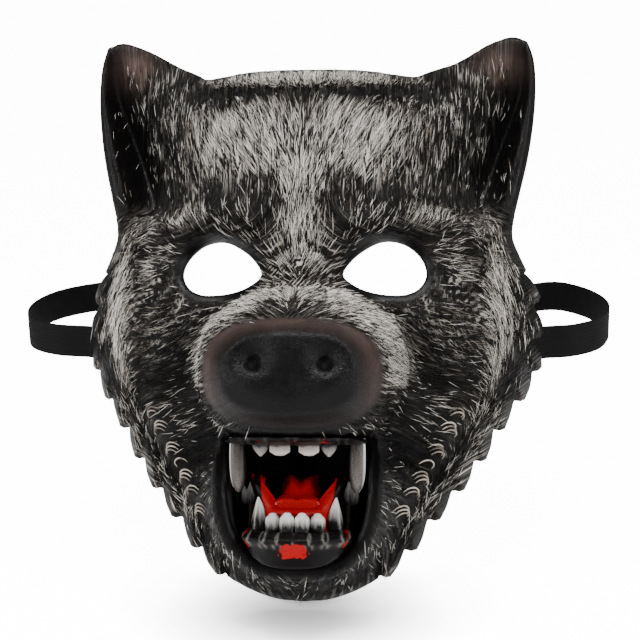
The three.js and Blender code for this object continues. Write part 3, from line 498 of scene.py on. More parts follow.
# The grid's open edges are drawn onto the outlines, so that every edge is clean.
used = np.zeros(X.shape, int)
for di in (0, 1):
    for dj in (0, 1):
        used[di:di + kept.shape[0], dj:dj + kept.shape[1]] += kept
edge = (used > 0) & (used < 4)
ex, ez = X[edge], Z[edge]
best = np.full(ex.shape, 1e9)
target = np.stack([ex, ez], -1)
for outline in [rim] + holes:
    lo, hi = outline.min(0) - 3, outline.max(0) + 3
    close = (ex > lo[0]) & (ex < hi[0]) & (ez > lo[1]) & (ez < hi[1])
    d, near = nearest_on(outline, ex[close], ez[close])
    spot = np.flatnonzero(close)[d < best[close]]
    target[spot] = near[d < best[close]]
    best[spot] = d[d < best[close]]
X[edge], Z[edge] = target[:, 0], target[:, 1]

skin = outer_height(X.ravel(), Z.ravel()).reshape(X.shape)
back = inner_height(X.ravel(), Z.ravel(), WALL).reshape(X.shape)


def ripple(u, v, seed):
    """Smooth random values from 0 to 1 over a plane, one rise or dip for each unit."""
    table = np.random.default_rng(seed).random((256, 256))
    i, j = np.floor(u).astype(int), np.floor(v).astype(int)
    s, t = u - i, v - j
    s, t = s * s * (3 - 2 * s), t * t * (3 - 2 * t)
    a, b = table[i % 256, j % 256], table[(i + 1) % 256, j % 256]
    c, d = table[i % 256, (j + 1) % 256], table[(i + 1) % 256, (j + 1) % 256]
    return (a * (1 - s) + b * s) * (1 - t) + (c * (1 - s) + d * s) * t


def unit(x, z):
    long = np.hypot(x, z) + 1e-6
    return np.stack([x / long, z / long], -1)


def rim_half(z):
    up = z / FACE_HEIGHT + EYE_LINE
    return HALF * along(column(SECTIONS, 0), column(SECTIONS, 1), up)


def fur_flow(side, z):
    """Which way the hair lies, as side and up: it leaves the nose, swirls around the
    muzzle, stands up the forehead, fans out from the eye's corner and runs down the rim."""
    a = np.abs(side)
    from_nose = unit(a, z + SNOUT_DROP)
    around = np.stack([from_nose[..., 1], -from_nose[..., 0]], -1)
    r = np.hypot(a, z + SNOUT_DROP)[..., None]
    swirl = 0.35 + 0.9 * np.exp(-((r - 42) / 20) ** 2)
    way = from_nose + swirl * around * smooth_step(-62, -30, z)[..., None]
    lean = 0.08 + 0.5 * np.exp(-((a - 24) / 20) ** 2) * smooth_step(25, 48, z)
    centre = np.exp(-((a / 17) ** 2))
    up = smooth_step(4 - 20 * centre, 34 - 24 * centre, z)[..., None]
    way = way * (1 - up) + np.stack([lean, np.ones_like(a)], -1) * up
    corner = np.exp(-((a - 66) / 13) ** 2 - ((z - 1) / 17) ** 2)[..., None] * 0.95
    way = way * (1 - corner) + unit(a - 40, z - 6) * corner
    jaw = smooth_step(-66, -92, z)[..., None]
    from_mouth = unit(a, z + MOUTH_DROP + 0.45 * MOUTH_HEIGHT)
    past = np.stack([from_mouth[..., 1], -from_mouth[..., 0]], -1)
    way = way * (1 - jaw) + (from_mouth + 0.8 * past) * jaw
    half = rim_half(z)
    slope = (rim_half(z + 2) - rim_half(z - 2)) / 4
    rim_way = unit(-slope, -np.ones_like(slope))
    at_rim = (smooth_step(0.66, 0.86, a / half) * smooth_step(42, 22, z))[..., None]
    way = unit(*np.moveaxis(way, -1, 0)) * (1 - at_rim) + rim_way * at_rim
    way = unit(*np.moveaxis(way, -1, 0))
    return way[..., 0] * np.where(side < 0, -1, 1), way[..., 1]


# Hair coordinates: each place is followed back along the hair to where it starts at the
# nose or the lips. The way there is its length, and the start's bearing its width.
on = used > 0
px, pz = X[on].copy(), Z[on].copy()
length = np.zeros(px.shape)
STEP = 1.5  # mm
STEPS = 130
NOSE_OVAL = (36, 22)  # half width and half height, mm, where the hair starts round the nose
LIPS_OVAL = (30, 26)  # the same round the lips
LIPS_MIDDLE = 101
BEARING_RADIUS = 34
for _ in range(STEPS):
    off_nose = np.hypot(px / NOSE_OVAL[0], (pz + SNOUT_DROP) / NOSE_OVAL[1]) > 1
    off_lips = np.hypot(px / LIPS_OVAL[0], (pz + LIPS_MIDDLE) / LIPS_OVAL[1]) > 1
    free = off_nose & off_lips
    fx, fz = fur_flow(px, pz)
    px, pz = px - free * STEP * fx, pz - free * STEP * fz
    length += free * STEP
bearing = np.arctan2(np.abs(px), pz + SNOUT_DROP + 20 * (pz < -72)) * BEARING_RADIUS
on_brow = smooth_step(0, 34, Z[on])
hair_u, hair_v = bearing * (1 - on_brow) + np.abs(X[on]) * on_brow, length

eye_gap = np.minimum(nearest_on(holes[0], X[on], Z[on])[0], nearest_on(holes[1], X[on], Z[on])[0])
lip_gap = nearest_on(holes[-1], X[on], Z[on])[0]
rim_gap = nearest_on(rim, X[on], Z[on])[0]
ax, az = np.abs(X[on]), Z[on]
at_up = az / FACE_HEIGHT + EYE_LINE
pad = oval(ax, az, -SNOUT_DROP - 1, NOSE_WIDTH / 2, NOSE_HEIGHT / 2, NOSE_HEIGHT / 2, 2.6)
past_crease = ax - HALF * along(column(EAR, 0), column(EAR, 1), at_up)
ear_part = smooth_step(0.66, 0.72, at_up) * smooth_step(-12, 0, past_crease)
nose_part = 1 - smooth_step(0.98, 1.08, pad)
smooth_part = np.maximum.reduce([nose_part, 1 - smooth_step(2, 5, eye_gap), 1 - smooth_step(3, 8, lip_gap),
                                 0.85 * ear_part])

# Where the fur is painted light: place out and up, size wide and tall, turn, amount.
LIGHT = [
    (0.2, 0.785, 0.27, 0.07, -18, 1.0),  # forehead patch
    (0.42, 0.80, 0.14, 0.06, 0, 0.5),  # outer forehead
    (0, 0.72, 0.11, 0.075, 0, 0.9),  # point of the V
    (0, 0.605, 0.15, 0.07, 0, 0.8),  # bridge of the nose
    (0.53, 0.66, 0.17, 0.03, 10, 0.55),  # brow
    (0.8, 0.51, 0.07, 0.15, 0, 0.95),  # cheek band
    (0.6, 0.475, 0.24, 0.09, 0, 0.34),  # cheek
    (0.63, 0.575, 0.07, 0.03, 0, 0.6),  # corner of the eye
    (0, 0.913, 0.48, 0.02, 0, 1.0),  # crown
    (0.78, 0.67, 0.06, 0.05, 10, 0.6),  # ear's root
    (0.74, 0.27, 0.035, 0.1, -31, 0.6),  # jaw
    (0.3, 0.03, 0.35, 0.02, 20, 0.3),  # chin
    (0.93, 0.4, 0.05, 0.15, 0, 0.2),  # fringe
    (0.69, 0.94, 0.035, 0.05, 52, 0.6),  # ear's inner edge
    (0.6, 0.83, 0.12, 0.07, 0, 0.26),  # temple
]
# Painted shade: soft black laid into the colour where shadow falls, in creases, hollows and under the brow
# and nose, in the same columns.
PAINTED_SHADE = [
    (0.87, 0.84, 0.04, 0.13, -14, 0.5),  # ear's crease
    (0.36, 0.625, 0.24, 0.022, 6, 0.9),  # under the brow
    (0.35, 0.7, 0.12, 0.03, -12, 0.75),  # over the brow
    (0.3, 0.885, 0.4, 0.014, 0, 0.8),  # behind the crown
    (0.5, 0.43, 0.1, 0.07, 20, 0.6),  # beside the nose
    (0.45, 0.28, 0.15, 0.12, -30, 0.75),  # jowl
    (0.14, 0.43, 0.07, 0.03, 0, 0.95),  # nostril
    (0, 0.345, 0.3, 0.026, 0, 0.8),  # under the nose
    (0, 0.40, 0.05, 0.035, 0, 0.5),  # middle of the nose
    (0.25, 0.07, 0.3, 0.04, 25, 0.6),  # chin
]


def patches(table, ground, softness):
    """The strongest of a table's oval patches at each place on the skin, over a ground value."""
    found = np.full(ax.shape, ground)
    for out, up_at, wide, tall, turn, amount in table:
        c, s = math.cos(math.radians(turn)), math.sin(math.radians(turn))
        dx, dz = ax - out * HALF, (at_up - up_at) * FACE_HEIGHT
        p, q = (dx * c + dz * s) / (wide * HALF), (dz * c - dx * s) / (tall * FACE_HEIGHT)
        found = np.maximum(found, amount * np.exp(-((p * p + q * q) ** softness)))
    return found


# Painted shade: how much black is laid into the colour at each place.
painted_shade = patches(PAINTED_SHADE, 0.0, 1)
light = patches(LIGHT, 0.08, 1.4)
blush = np.exp(-((ax - 0.835 * HALF) / 9) ** 2 - ((at_up - 0.962) * FACE_HEIGHT / 8) ** 2)
blush = np.maximum(blush, 0.3 * nose_part * smooth_step(0.72, 1.0, pad) * smooth_step(-75, -55, az))
MUZZLE_RING = 31  # mm, a flat ring of long hair round the nose
ring = np.hypot(ax / 1.25, az + SNOUT_DROP) - MUZZLE_RING
light = np.maximum(light, 0.9 * np.exp(-((ring - 4) / 8) ** 2) * smooth_step(-64, -44, az))
light *= 1 - smooth_part

# Relief: tufts along the hair, a crease that sets off the scalloped fringe, round edges.
tuft = ripple(hair_u / 2.3, hair_v / 11, 3) + 0.6 * ripple(hair_u / 1.1 + 40, hair_v / 6, 4) - 0.8
fringe = np.exp(-((rim_gap - 11) / 2.2) ** 2) * smooth_step(30, 15, az)
edge_round = np.clip(1 - rim_gap / 3.2, 0, 1) ** 2 + 0.8 * np.clip(1 - lip_gap / 2.6, 0, 1) ** 2
fold = np.exp(-((lip_gap - 8.5) / 1.8) ** 2) * smooth_step(-76, -84, az)
fold2 = np.exp(-((lip_gap - 14.5) / 2.4) ** 2) * smooth_step(-74, -90, az)
shaped = skin[on] + tuft * 1.5 * (1 - smooth_part) - 1.6 * fringe - 1.9 * edge_round
shaped += -1.3 * fold - 0.9 * fold2
RIM_ZONE = 16  # mm from the rim that its scallops reach
near_rim = np.flatnonzero(rim_gap < RIM_ZONE)
at_scallop = np.full(ax.shape, -1.0)
for some in np.array_split(near_rim, 40):
    gaps = np.hypot(X[on][some][:, None] - rim[:, 0], Z[on][some][:, None] - rim[:, 1])
    at_scallop[some] = rim_phase[gaps.argmin(1)]
lobed = at_scallop >= 0
lobe = np.interp(at_scallop, [0, 0.1, 0.4, 0.8, 0.94, 1], [0, 0.35, 0.85, 1, 0.5, 0])
lobe = np.where(lobed, lobe, 0)
shaped += lobed * (4.4 * (lobe - 0.66)) * np.exp(-((rim_gap - 3) / 5.5) ** 2)
shaped += 1.2 * lobed * np.exp(-((rim_gap - 6) / 3) ** 2)
lobe_light = lobed * np.exp(-((at_scallop - 0.66) / 0.16) ** 2) * np.exp(-((rim_gap - 5) / 4) ** 2)
light = np.maximum(light, 0.8 * lobe_light * (1 - smooth_part))
# A row of hooked tufts runs down each jaw, over a bed that is flat and dark.
ROW_TOP = np.array([71.5, -66.0])
ROW_END = np.array([45.0, -112.0])
ROW_HALF = 5.0
row_long = np.linalg.norm(ROW_END - ROW_TOP)
row_run = (ROW_END - ROW_TOP) / row_long
down = (ax - ROW_TOP[0]) * row_run[0] + (az - ROW_TOP[1]) * row_run[1]
beside = np.abs((ax - ROW_TOP[0]) * row_run[1] - (az - ROW_TOP[1]) * row_run[0])
row_bed = np.exp(-((beside / ROW_HALF) ** 4)) * smooth_step(-6, 0, down)
row_bed *= smooth_step(row_long + 6, row_long, down) * (1 - smooth_part)
light *= 1 - 0.8 * row_bed
shaped += row_bed * (0.9 - 1.35 * tuft)
nostril_gap = np.hypot(ax - NOSTRIL_SPACING / 2, az + SNOUT_DROP - 0.07 * NOSE_HEIGHT)
shaped -= 3.4 * (1 - smooth_step(1.9, 3.4, nostril_gap))
skin[on] = shaped


def skin_mesh(name):
    """A closed wall over the kept cells: the skin, the back of the foam and their edges."""
    count = int(on.sum())
    number = np.full(X.shape, -1)
    number[on] = np.arange(count)
    front = worn(X[on], skin[on], Z[on])
    rear = worn(X[on], back[on], Z[on])
    j, i = np.nonzero(kept)
    a, b, c, d = number[j, i], number[j, i + 1], number[j + 1, i + 1], number[j + 1, i]
    quads = [np.stack([a, b, c, d], 1), np.stack([a, d, c, b], 1) + count]
    for (p, q, dj, di) in ((a, b, -1, 0), (b, c, 0, 1), (c, d, 1, 0), (d, a, 0, -1)):
        jj, ii = j + dj, i + di
        open_edge = (jj < 0) | (jj >= kept.shape[0]) | (ii < 0) | (ii >= kept.shape[1])
        other = np.zeros(len(j), bool)
        other[~open_edge] = kept[jj[~open_edge], ii[~open_edge]]
        p, q = p[~other], q[~other]
        quads.append(np.stack([q, p, p + count, q + count], 1))
    faces = np.vstack(quads)
    mesh = bpy.data.meshes.new(name)
    mesh.vertices.add(2 * count)
    mesh.vertices.foreach_set("co", np.vstack([front, rear]).astype(np.float32).ravel())
    mesh.loops.add(faces.size)
    mesh.loops.foreach_set("vertex_index", faces.astype(np.int32).ravel())
    mesh.polygons.add(len(faces))
    mesh.polygons.foreach_set("loop_start", np.arange(0, faces.size, 4, dtype=np.int32))
    mesh.update(calc_edges=True)
    mesh.validate()
    mesh.polygons.foreach_set("use_smooth", np.ones(len(mesh.polygons), bool))
    return mesh


face_mesh = skin_mesh("foam_face")


def add_value(mesh, name, values, kind="FLOAT"):
    """Stores one value for each place on the skin, and a plain 0 on the back of the foam."""
    spare = len(mesh.vertices) - len(values)
    whole = np.concatenate([values, np.zeros((spare,) + values.shape[1:])]).astype(np.float32)
    field = {"FLOAT": "value", "FLOAT_VECTOR": "vector"}[kind]
    mesh.attributes.new(name, kind, "POINT").data.foreach_set(field, whole.ravel())


hair_map = np.stack([hair_u, hair_v, np.zeros_like(hair_u)], 1)
add_value(face_mesh, "hair", hair_map, "FLOAT_VECTOR")
add_value(face_mesh, "light", light)
add_value(face_mesh, "bare", smooth_part)
add_value(face_mesh, "nose", nose_part)
# The spray value is painted shade: black laid into the colour where shadow falls.
add_value(face_mesh, "spray", painted_shade)
add_value(face_mesh, "blush", blush)

# Foam skin: black foam, sealed and satin, with the fur brushed over it in thin strokes of
# ivory and grey paint. The nose is bare and grained like leather.
painted, tree, shader = new_material("black_foam_with_brushed_fur")
hair = node(tree, "ShaderNodeAttribute", {"attribute_name": "hair"})
light_at = node(tree, "ShaderNodeAttribute", {"attribute_name": "light"})
bare_at = node(tree, "ShaderNodeAttribute", {"attribute_name": "bare"})
nose_at = node(tree, "ShaderNodeAttribute", {"attribute_name": "nose"})
place = node(tree, "ShaderNodeTexCoord")
LINE_WIDE = 0.75  # mm, a stroke of a fine dry brush
LINE_LONG = 11
stretch = node(tree, "ShaderNodeVectorMath", {"operation": "MULTIPLY"}, i0=hair.outputs["Vector"],
               i1=(1 / LINE_WIDE, 1 / LINE_LONG, 0))
lines = node(tree, "ShaderNodeTexNoise", i0=stretch.outputs["Vector"], Scale=1.0, Detail=3.0, Roughness=0.6,
             Distortion=0.5)
broad = node(tree, "ShaderNodeVectorMath", {"operation": "MULTIPLY"}, i0=hair.outputs["Vector"],
             i1=(1 / (3.2 * LINE_WIDE), 1 / (1.7 * LINE_LONG), 0))
clumps = node(tree, "ShaderNodeTexNoise", i0=broad.outputs["Vector"], Scale=1.0, Detail=2.0, Roughness=0.5)
strokes = node(tree, "ShaderNodeMapRange", i0=lines.outputs["Fac"], i1=0.53, i2=0.6, i3=0.0, i4=1.0)
lit = node(tree, "ShaderNodeMath", {"operation": "MULTIPLY"}, i0=strokes.outputs["Result"],
           i1=light_at.outputs["Fac"])
ground = node(tree, "ShaderNodeMapRange", i0=clumps.outputs["Fac"], i1=0.38, i2=0.66, i3=0.0, i4=1.0)
dusty = node(tree, "ShaderNodeMath", {"operation": "MULTIPLY"}, i0=ground.outputs["Result"],
             i1=light_at.outputs["Fac"])
dark = node(tree, "ShaderNodeMix", {"data_type": "RGBA"}, i0=ground.outputs["Result"], i6=linear("#050504"),
            i7=linear("#171412"))
warm = node(tree, "ShaderNodeMix", {"data_type": "RGBA"}, i0=dusty.outputs["Value"],
            i6=dark.outputs["Result"], i7=linear("#332c27"))
furred = node(tree, "ShaderNodeMix", {"data_type": "RGBA"}, i0=lit.outputs["Value"],
              i6=warm.outputs["Result"], i7=linear("#f8f1e8"))
grain_size = node(tree, "ShaderNodeTexVoronoi", {"feature": "DISTANCE_TO_EDGE"}, i0=place.outputs["Object"],
                  Scale=900.0)
pores = node(tree, "ShaderNodeTexNoise", i0=place.outputs["Object"], Scale=1400.0, Detail=2.0)
dust = node(tree, "ShaderNodeTexNoise", i0=place.outputs["Object"], Scale=60.0, Detail=3.0)
leather = node(tree, "ShaderNodeMix", {"data_type": "RGBA"}, i0=dust.outputs["Fac"], i6=linear("#060606"),
               i7=linear("#121111"))
plain = node(tree, "ShaderNodeMix", {"data_type": "RGBA"}, i0=dust.outputs["Fac"], i6=linear("#060505"),
             i7=linear("#141211"))
smooth_colour = node(tree, "ShaderNodeMix", {"data_type": "RGBA"}, i0=nose_at.outputs["Fac"],
                     i6=plain.outputs["Result"], i7=leather.outputs["Result"])
final_colour = node(tree, "ShaderNodeMix", {"data_type": "RGBA"}, i0=bare_at.outputs["Fac"],
                    i6=furred.outputs["Result"], i7=smooth_colour.outputs["Result"])
painted_shade_at = node(tree, "ShaderNodeAttribute", {"attribute_name": "spray"})
blush_at = node(tree, "ShaderNodeAttribute", {"attribute_name": "blush"})
blush_gain = node(tree, "ShaderNodeMath", {"operation": "MULTIPLY"}, i0=blush_at.outputs["Fac"],
                  i1=dust.outputs["Fac"])
blushed = node(tree, "ShaderNodeMix", {"data_type": "RGBA"}, i0=blush_gain.outputs["Value"],
               i6=final_colour.outputs["Result"], i7=linear("#8a7068"))
# Painted shade: the colour is darkened towards black by the spray value, in creases and hollows.
shade_painted_colour = node(tree, "ShaderNodeMix", {"data_type": "RGBA"}, i0=painted_shade_at.outputs["Fac"],
               i6=blushed.outputs["Result"], i7=linear("#060606"))
tree.links.new(shade_painted_colour.outputs["Result"], shader.inputs["Base Color"])
grain = node(tree, "ShaderNodeMath", {"operation": "MULTIPLY"}, i0=grain_size.outputs["Distance"],
             i1=nose_at.outputs["Fac"])
fur_height = node(tree, "ShaderNodeMath", {"operation": "MULTIPLY_ADD"}, i0=lines.outputs["Fac"], i1=1.4,
                  i2=clumps.outputs["Fac"])
fur_bump = node(tree, "ShaderNodeBump", Strength=0.9, Distance=0.0015, Height=fur_height.outputs["Value"])
inverse = node(tree, "ShaderNodeMath", {"operation": "SUBTRACT"}, i0=1.0, i1=bare_at.outputs["Fac"])
tree.links.new(inverse.outputs["Value"], fur_bump.inputs["Strength"])
skin_height = node(tree, "ShaderNodeMath", {"operation": "MULTIPLY_ADD"}, i0=grain.outputs["Value"], i1=1.2,
                   i2=pores.outputs["Fac"])
skin_bump = node(tree, "ShaderNodeBump", Strength=0.6, Distance=0.0004, Height=skin_height.outputs["Value"],
                 Normal=fur_bump.outputs["Normal"])
tree.links.new(skin_bump.outputs["Normal"], shader.inputs["Normal"])
rough = node(tree, "ShaderNodeMapRange", i0=clumps.outputs["Fac"], i1=0.3, i2=0.7, i3=0.26, i4=0.44)
shader.inputs["Specular IOR Level"].default_value = 0.15
tree.links.new(rough.outputs["Result"], shader.inputs["Roughness"])
face_mesh.materials.append(painted)
foam_face = bpy.data.objects.new("foam_face", face_mesh)
bpy.context.collection.objects.link(foam_face)
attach(foam_face, "root")
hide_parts("face_shell")

# Raised hairs. The mould carries single hairs over the clumps, each a thin tapered ridge of
# foam with dry paint on it. They stand in four fields, which differ in length and number.
HAIR_WIDE = 0.5
HAIR_HIGH = 0.42
hair_shapes = bpy.data.collections.new("hair_shapes")
for k, (bend, lift) in enumerate(((0.14, 0.05), (-0.16, 0.06), (0.05, 0.03), (-0.08, 0.07))):
    rings = [(0.0, 0.0, 0.0), (0.34, 0.45 * bend, 0.8 * lift), (0.72, 0.95 * bend, lift),
             (1.0, 0.6 * bend, 0.3 * lift)]
    points = [rings[0]]
    for along_hair, to_side, up in rings[1:3]:
        thick = 1.0 if along_hair < 0.5 else 0.62
        for turn in (90, 210, 330):
            points.append((along_hair, to_side + thick * 0.5 * math.cos(math.radians(turn)) * HAIR_WIDE / 8,
                           up + thick * 0.5 * math.sin(math.radians(turn)) * HAIR_HIGH / 8))
    points.append(rings[3])
    faces = []
    for i in range(3):
        j = (i + 1) % 3
        faces += [(0, 1 + j, 1 + i), (1 + i, 1 + j, 4 + j, 4 + i), (4 + i, 4 + j, 7)]
    shape_mesh = bpy.data.meshes.new(f"hair_shape_{k}")
    shape_mesh.from_pydata([(MM * x, MM * y, MM * z) for x, y, z in points], [], faces)
    shape_mesh.polygons.foreach_set("use_smooth", [True] * len(faces))
    hair_shapes.objects.link(bpy.data.objects.new(f"hair_shape_{k}", shape_mesh))

hair_paint, tree, shader = new_material("dry_brushed_hair")
shader.inputs["Roughness"].default_value = 0.6
shader.inputs["Specular IOR Level"].default_value = 0.18
shade = node(tree, "ShaderNodeAttribute", {"attribute_name": "shade"})
light_at = node(tree, "ShaderNodeAttribute", {"attribute_name": "light"})
lightness = node(tree, "ShaderNodeMath", {"operation": "MULTIPLY_ADD", "use_clamp": True},
                 i0=light_at.outputs["Fac"], i1=0.86, i2=0.22)
tone = node(tree, "ShaderNodeMath", {"operation": "MULTIPLY"}, i0=shade.outputs["Fac"],
            i1=lightness.outputs["Value"])
ramp = node(tree, "ShaderNodeValToRGB", i0=tone.outputs["Value"])
ramp.color_ramp.elements[0].position = 0.3
ramp.color_ramp.elements[0].color = linear("#080706")
ramp.color_ramp.elements[1].position = 0.6
ramp.color_ramp.elements[1].color = linear("#fffaf2")
for position, colour in ((0.42, "#2a2521"), (0.48, "#b5aa9e")):
    stop = ramp.color_ramp.elements.new(position)
    stop.color = linear(colour)
tree.links.new(ramp.outputs["Color"], shader.inputs["Base Color"])

fur_nodes = bpy.data.node_groups.new("raised_hairs", "GeometryNodeTree")
for name, kind, way in (("Skin", "NodeSocketGeometry", "INPUT"), ("Hairs", "NodeSocketFloat", "INPUT"),
                        ("Length", "NodeSocketFloat", "INPUT"), ("Spread", "NodeSocketFloat", "INPUT"),
                        ("Seed", "NodeSocketInt", "INPUT"), ("Paint", "NodeSocketMaterial", "INPUT"),
                        ("Shapes", "NodeSocketCollection", "INPUT"),
                        ("Hair", "NodeSocketGeometry", "OUTPUT")):
    fur_nodes.interface.new_socket(name, in_out=way, socket_type=kind)
tree = fur_nodes
given = node(tree, "NodeGroupInput")
field = node(tree, "GeometryNodeInputNamedAttribute", {"data_type": "FLOAT"}, Name="hairs")
way = node(tree, "GeometryNodeInputNamedAttribute", {"data_type": "FLOAT_VECTOR"}, Name="lie")
density = node(tree, "ShaderNodeMath", {"operation": "MULTIPLY"}, i0=field.outputs[0],
               i1=given.outputs["Hairs"])
spots = node(tree, "GeometryNodeDistributePointsOnFaces", Mesh=given.outputs["Skin"],
             Density=density.outputs[0], Seed=given.outputs["Seed"])
toward_tip = node(tree, "FunctionNodeAlignRotationToVector", {"axis": "X"}, Vector=way.outputs[0])
upright = node(tree, "FunctionNodeAlignRotationToVector", {"axis": "Z", "pivot_axis": "X"},
               Rotation=toward_tip.outputs[0], Vector=spots.outputs["Normal"])
turn = node(tree, "FunctionNodeRandomValue", {"data_type": "FLOAT"}, i2=-1.0, i3=1.0, Seed=11)
swing = node(tree, "ShaderNodeMath", {"operation": "MULTIPLY"}, i0=turn.outputs[1],
             i1=given.outputs["Spread"])
tip_up = node(tree, "FunctionNodeRandomValue", {"data_type": "FLOAT"}, i2=-0.02, i3=0.06, Seed=12)
angles = node(tree, "ShaderNodeCombineXYZ", X=0.0, Y=tip_up.outputs[1], Z=swing.outputs[0])
to_turn = node(tree, "FunctionNodeEulerToRotation", Euler=angles.outputs[0])
laid = node(tree, "FunctionNodeRotateRotation", {"rotation_space": "LOCAL"}, Rotation=upright.outputs[0],
            Rotate_By=to_turn.outputs[0])
shapes = node(tree, "GeometryNodeCollectionInfo", {}, Collection=given.outputs["Shapes"],
              Separate_Children=True, Reset_Children=True)
size = node(tree, "FunctionNodeRandomValue", {"data_type": "FLOAT"}, i2=0.5, i3=1.35, Seed=13)
long = node(tree, "ShaderNodeMath", {"operation": "MULTIPLY"}, i0=size.outputs[1],
            i1=given.outputs["Length"])
thick = node(tree, "FunctionNodeRandomValue", {"data_type": "FLOAT"}, i2=2.4, i3=4.8, Seed=14)
scale = node(tree, "ShaderNodeCombineXYZ", X=long.outputs[0], Y=thick.outputs[1], Z=thick.outputs[1])
stood = node(tree, "GeometryNodeInstanceOnPoints", Points=spots.outputs["Points"],
             Instance=shapes.outputs[0], Pick_Instance=True, Rotation=laid.outputs[0],
             Scale=scale.outputs[0])
shade = node(tree, "FunctionNodeRandomValue", {"data_type": "FLOAT"}, i2=0.0, i3=1.0, Seed=15)
stored = node(tree, "GeometryNodeStoreNamedAttribute", {"data_type": "FLOAT", "domain": "INSTANCE"},
              Geometry=stood.outputs[0], Name="shade", Value=shade.outputs[1])
real = node(tree, "GeometryNodeRealizeInstances", Geometry=stored.outputs[0])
coated = node(tree, "GeometryNodeSetMaterial", Geometry=real.outputs[0], Material=given.outputs["Paint"])
node(tree, "NodeGroupOutput", Hair=coated.outputs[0])
socket_id = {item.name: item.identifier for item in fur_nodes.interface.items_tree if item.in_out == "INPUT"}

lie_x, lie_z = fur_flow(X[on], Z[on])
cell = GRID * GRID
surface_x = np.gradient(skin, GRID, axis=1)[on]
surface_z = np.gradient(skin, GRID, axis=0)[on]
stretch_area = np.sqrt(1 + np.clip(surface_x**2 + surface_z**2, 0, 9)) * cell
rise = np.clip(lie_x * surface_x + lie_z * surface_z, -2, 2)
lie = worn(lie_x, rise, lie_z) / MM


def hair_field(name, hairs, count, length_mm, spread, seed, paint=light):
    """One field of raised hairs: hairs says how thick they stand, paint how white they are."""
    bed = skin_mesh(name + "_bed")
    add_value(bed, "hairs", hairs)
    add_value(bed, "lie", lie, "FLOAT_VECTOR")
    add_value(bed, "light", paint)
    piece = bpy.data.objects.new(name, bed)
    bpy.context.collection.objects.link(piece)
    grow = piece.modifiers.new("hairs", "NODES")
    grow.node_group = fur_nodes
    per_square_metre = count / (float((hairs * stretch_area).sum()) * MM * MM)
    for key, value in (("Hairs", per_square_metre), ("Length", length_mm), ("Spread", spread),
                       ("Seed", seed), ("Paint", hair_paint), ("Shapes", hair_shapes)):
        grow[socket_id[key]] = value
    grown = bpy.data.meshes.new_from_object(piece.evaluated_get(bpy.context.evaluated_depsgraph_get()))
    piece.modifiers.remove(grow)
    grown.name = name
    piece.data = grown
    bpy.data.meshes.remove(bed)
    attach(piece, "root")


ear_edge = smooth_step(0.86, 0.9, at_up) * smooth_step(0.5, 0.6, ax / HALF)
furred_part = (1 - smooth_part) * smooth_step(2.5, 6.5, rim_gap - 9 * ear_edge)
crowd = ripple(ax / 2.4 + 9, az / 6.5 + 40, 31)
furred_part = furred_part * (0.35 + 1.3 * smooth_step(0.25, 0.75, crowd))
to_crown = smooth_step(0.878, 0.893, at_up) * (ax < 0.5 * HALF)
to_forehead = smooth_step(0.585, 0.62, at_up) * (1 - to_crown) * (ax < 0.72 * HALF)
to_muzzle = (1 - smooth_step(17, 24, ring)) * (1 - smooth_step(0.585, 0.62, at_up))
to_muzzle = to_muzzle * smooth_step(-80, -66, az)
to_cheek = (1 - to_crown) * (1 - to_forehead) * (1 - to_muzzle)
hair_field("forehead_hair", furred_part * to_forehead * (0.02 + light), 14000, 10.5, 0.3, 21)
hair_field("muzzle_hair", furred_part * to_muzzle * (0.03 + light), 8800, 7.0, 0.3, 22)
hair_field("cheek_hair", furred_part * to_cheek * (0.01 + light), 12000, 8.5, 0.3, 23)
hair_field("crown_hair", furred_part * to_crown * (0.05 + light), 5400, 3.4, 0.9, 24)
loose = furred_part * (1 - 0.8 * light) * (0.15 + smooth_step(0.4, 0.8, ripple(ax / 7 + 3, az / 9 + 60, 32)))
loose = loose * (1 - 0.6 * to_crown) * (1 - 0.8 * painted_shade) * (1 - 0.95 * row_bed)
hair_field("single_hairs", loose, 8200, 8.0, 0.4, 25, np.full(light.shape, 0.66))
for shape in list(hair_shapes.objects):
    bpy.data.objects.remove(shape)
bpy.data.collections.remove(hair_shapes)

# Hooked tufts. Seven groups of one to three crescents, raised in the mould and picked out
# in ivory, run down each jaw like a braid.
HOOK = [(-3.8, -0.6), (-1.4, 0.7), (1.2, 0.9), (2.9, -0.3), (3.0, -1.9), (2.0, -3.2)]
HOOK_GROUPS = ((0.0, 2), (0.14, 3), (0.36, 3), (0.52, 1), (0.63, 3), (0.78, 2), (0.95, 3))
HOOK_STEP = 1.7
HOOK_THICK = 0.4
HOOK_SIDES = 6
HOOK_LIFT = 0.15  # mm that a hook's middle stands over the skin
PAINT_RUN = 150  # mesh points between two dabs of the brush, each a little lighter or darker


def on_foam(x, z):
    """Height of the finished skin, smoothed over the next few places."""
    i, j = (x - X[0, 0]) / GRID, (z - Z[0, 0]) / GRID
    near = [skin[int(round(j)) + dj, int(round(i)) + di] for dj in (-1, 0, 1) for di in (-1, 0, 1)]
    return max(near) * 0.5 + sum(near) / len(near) * 0.5


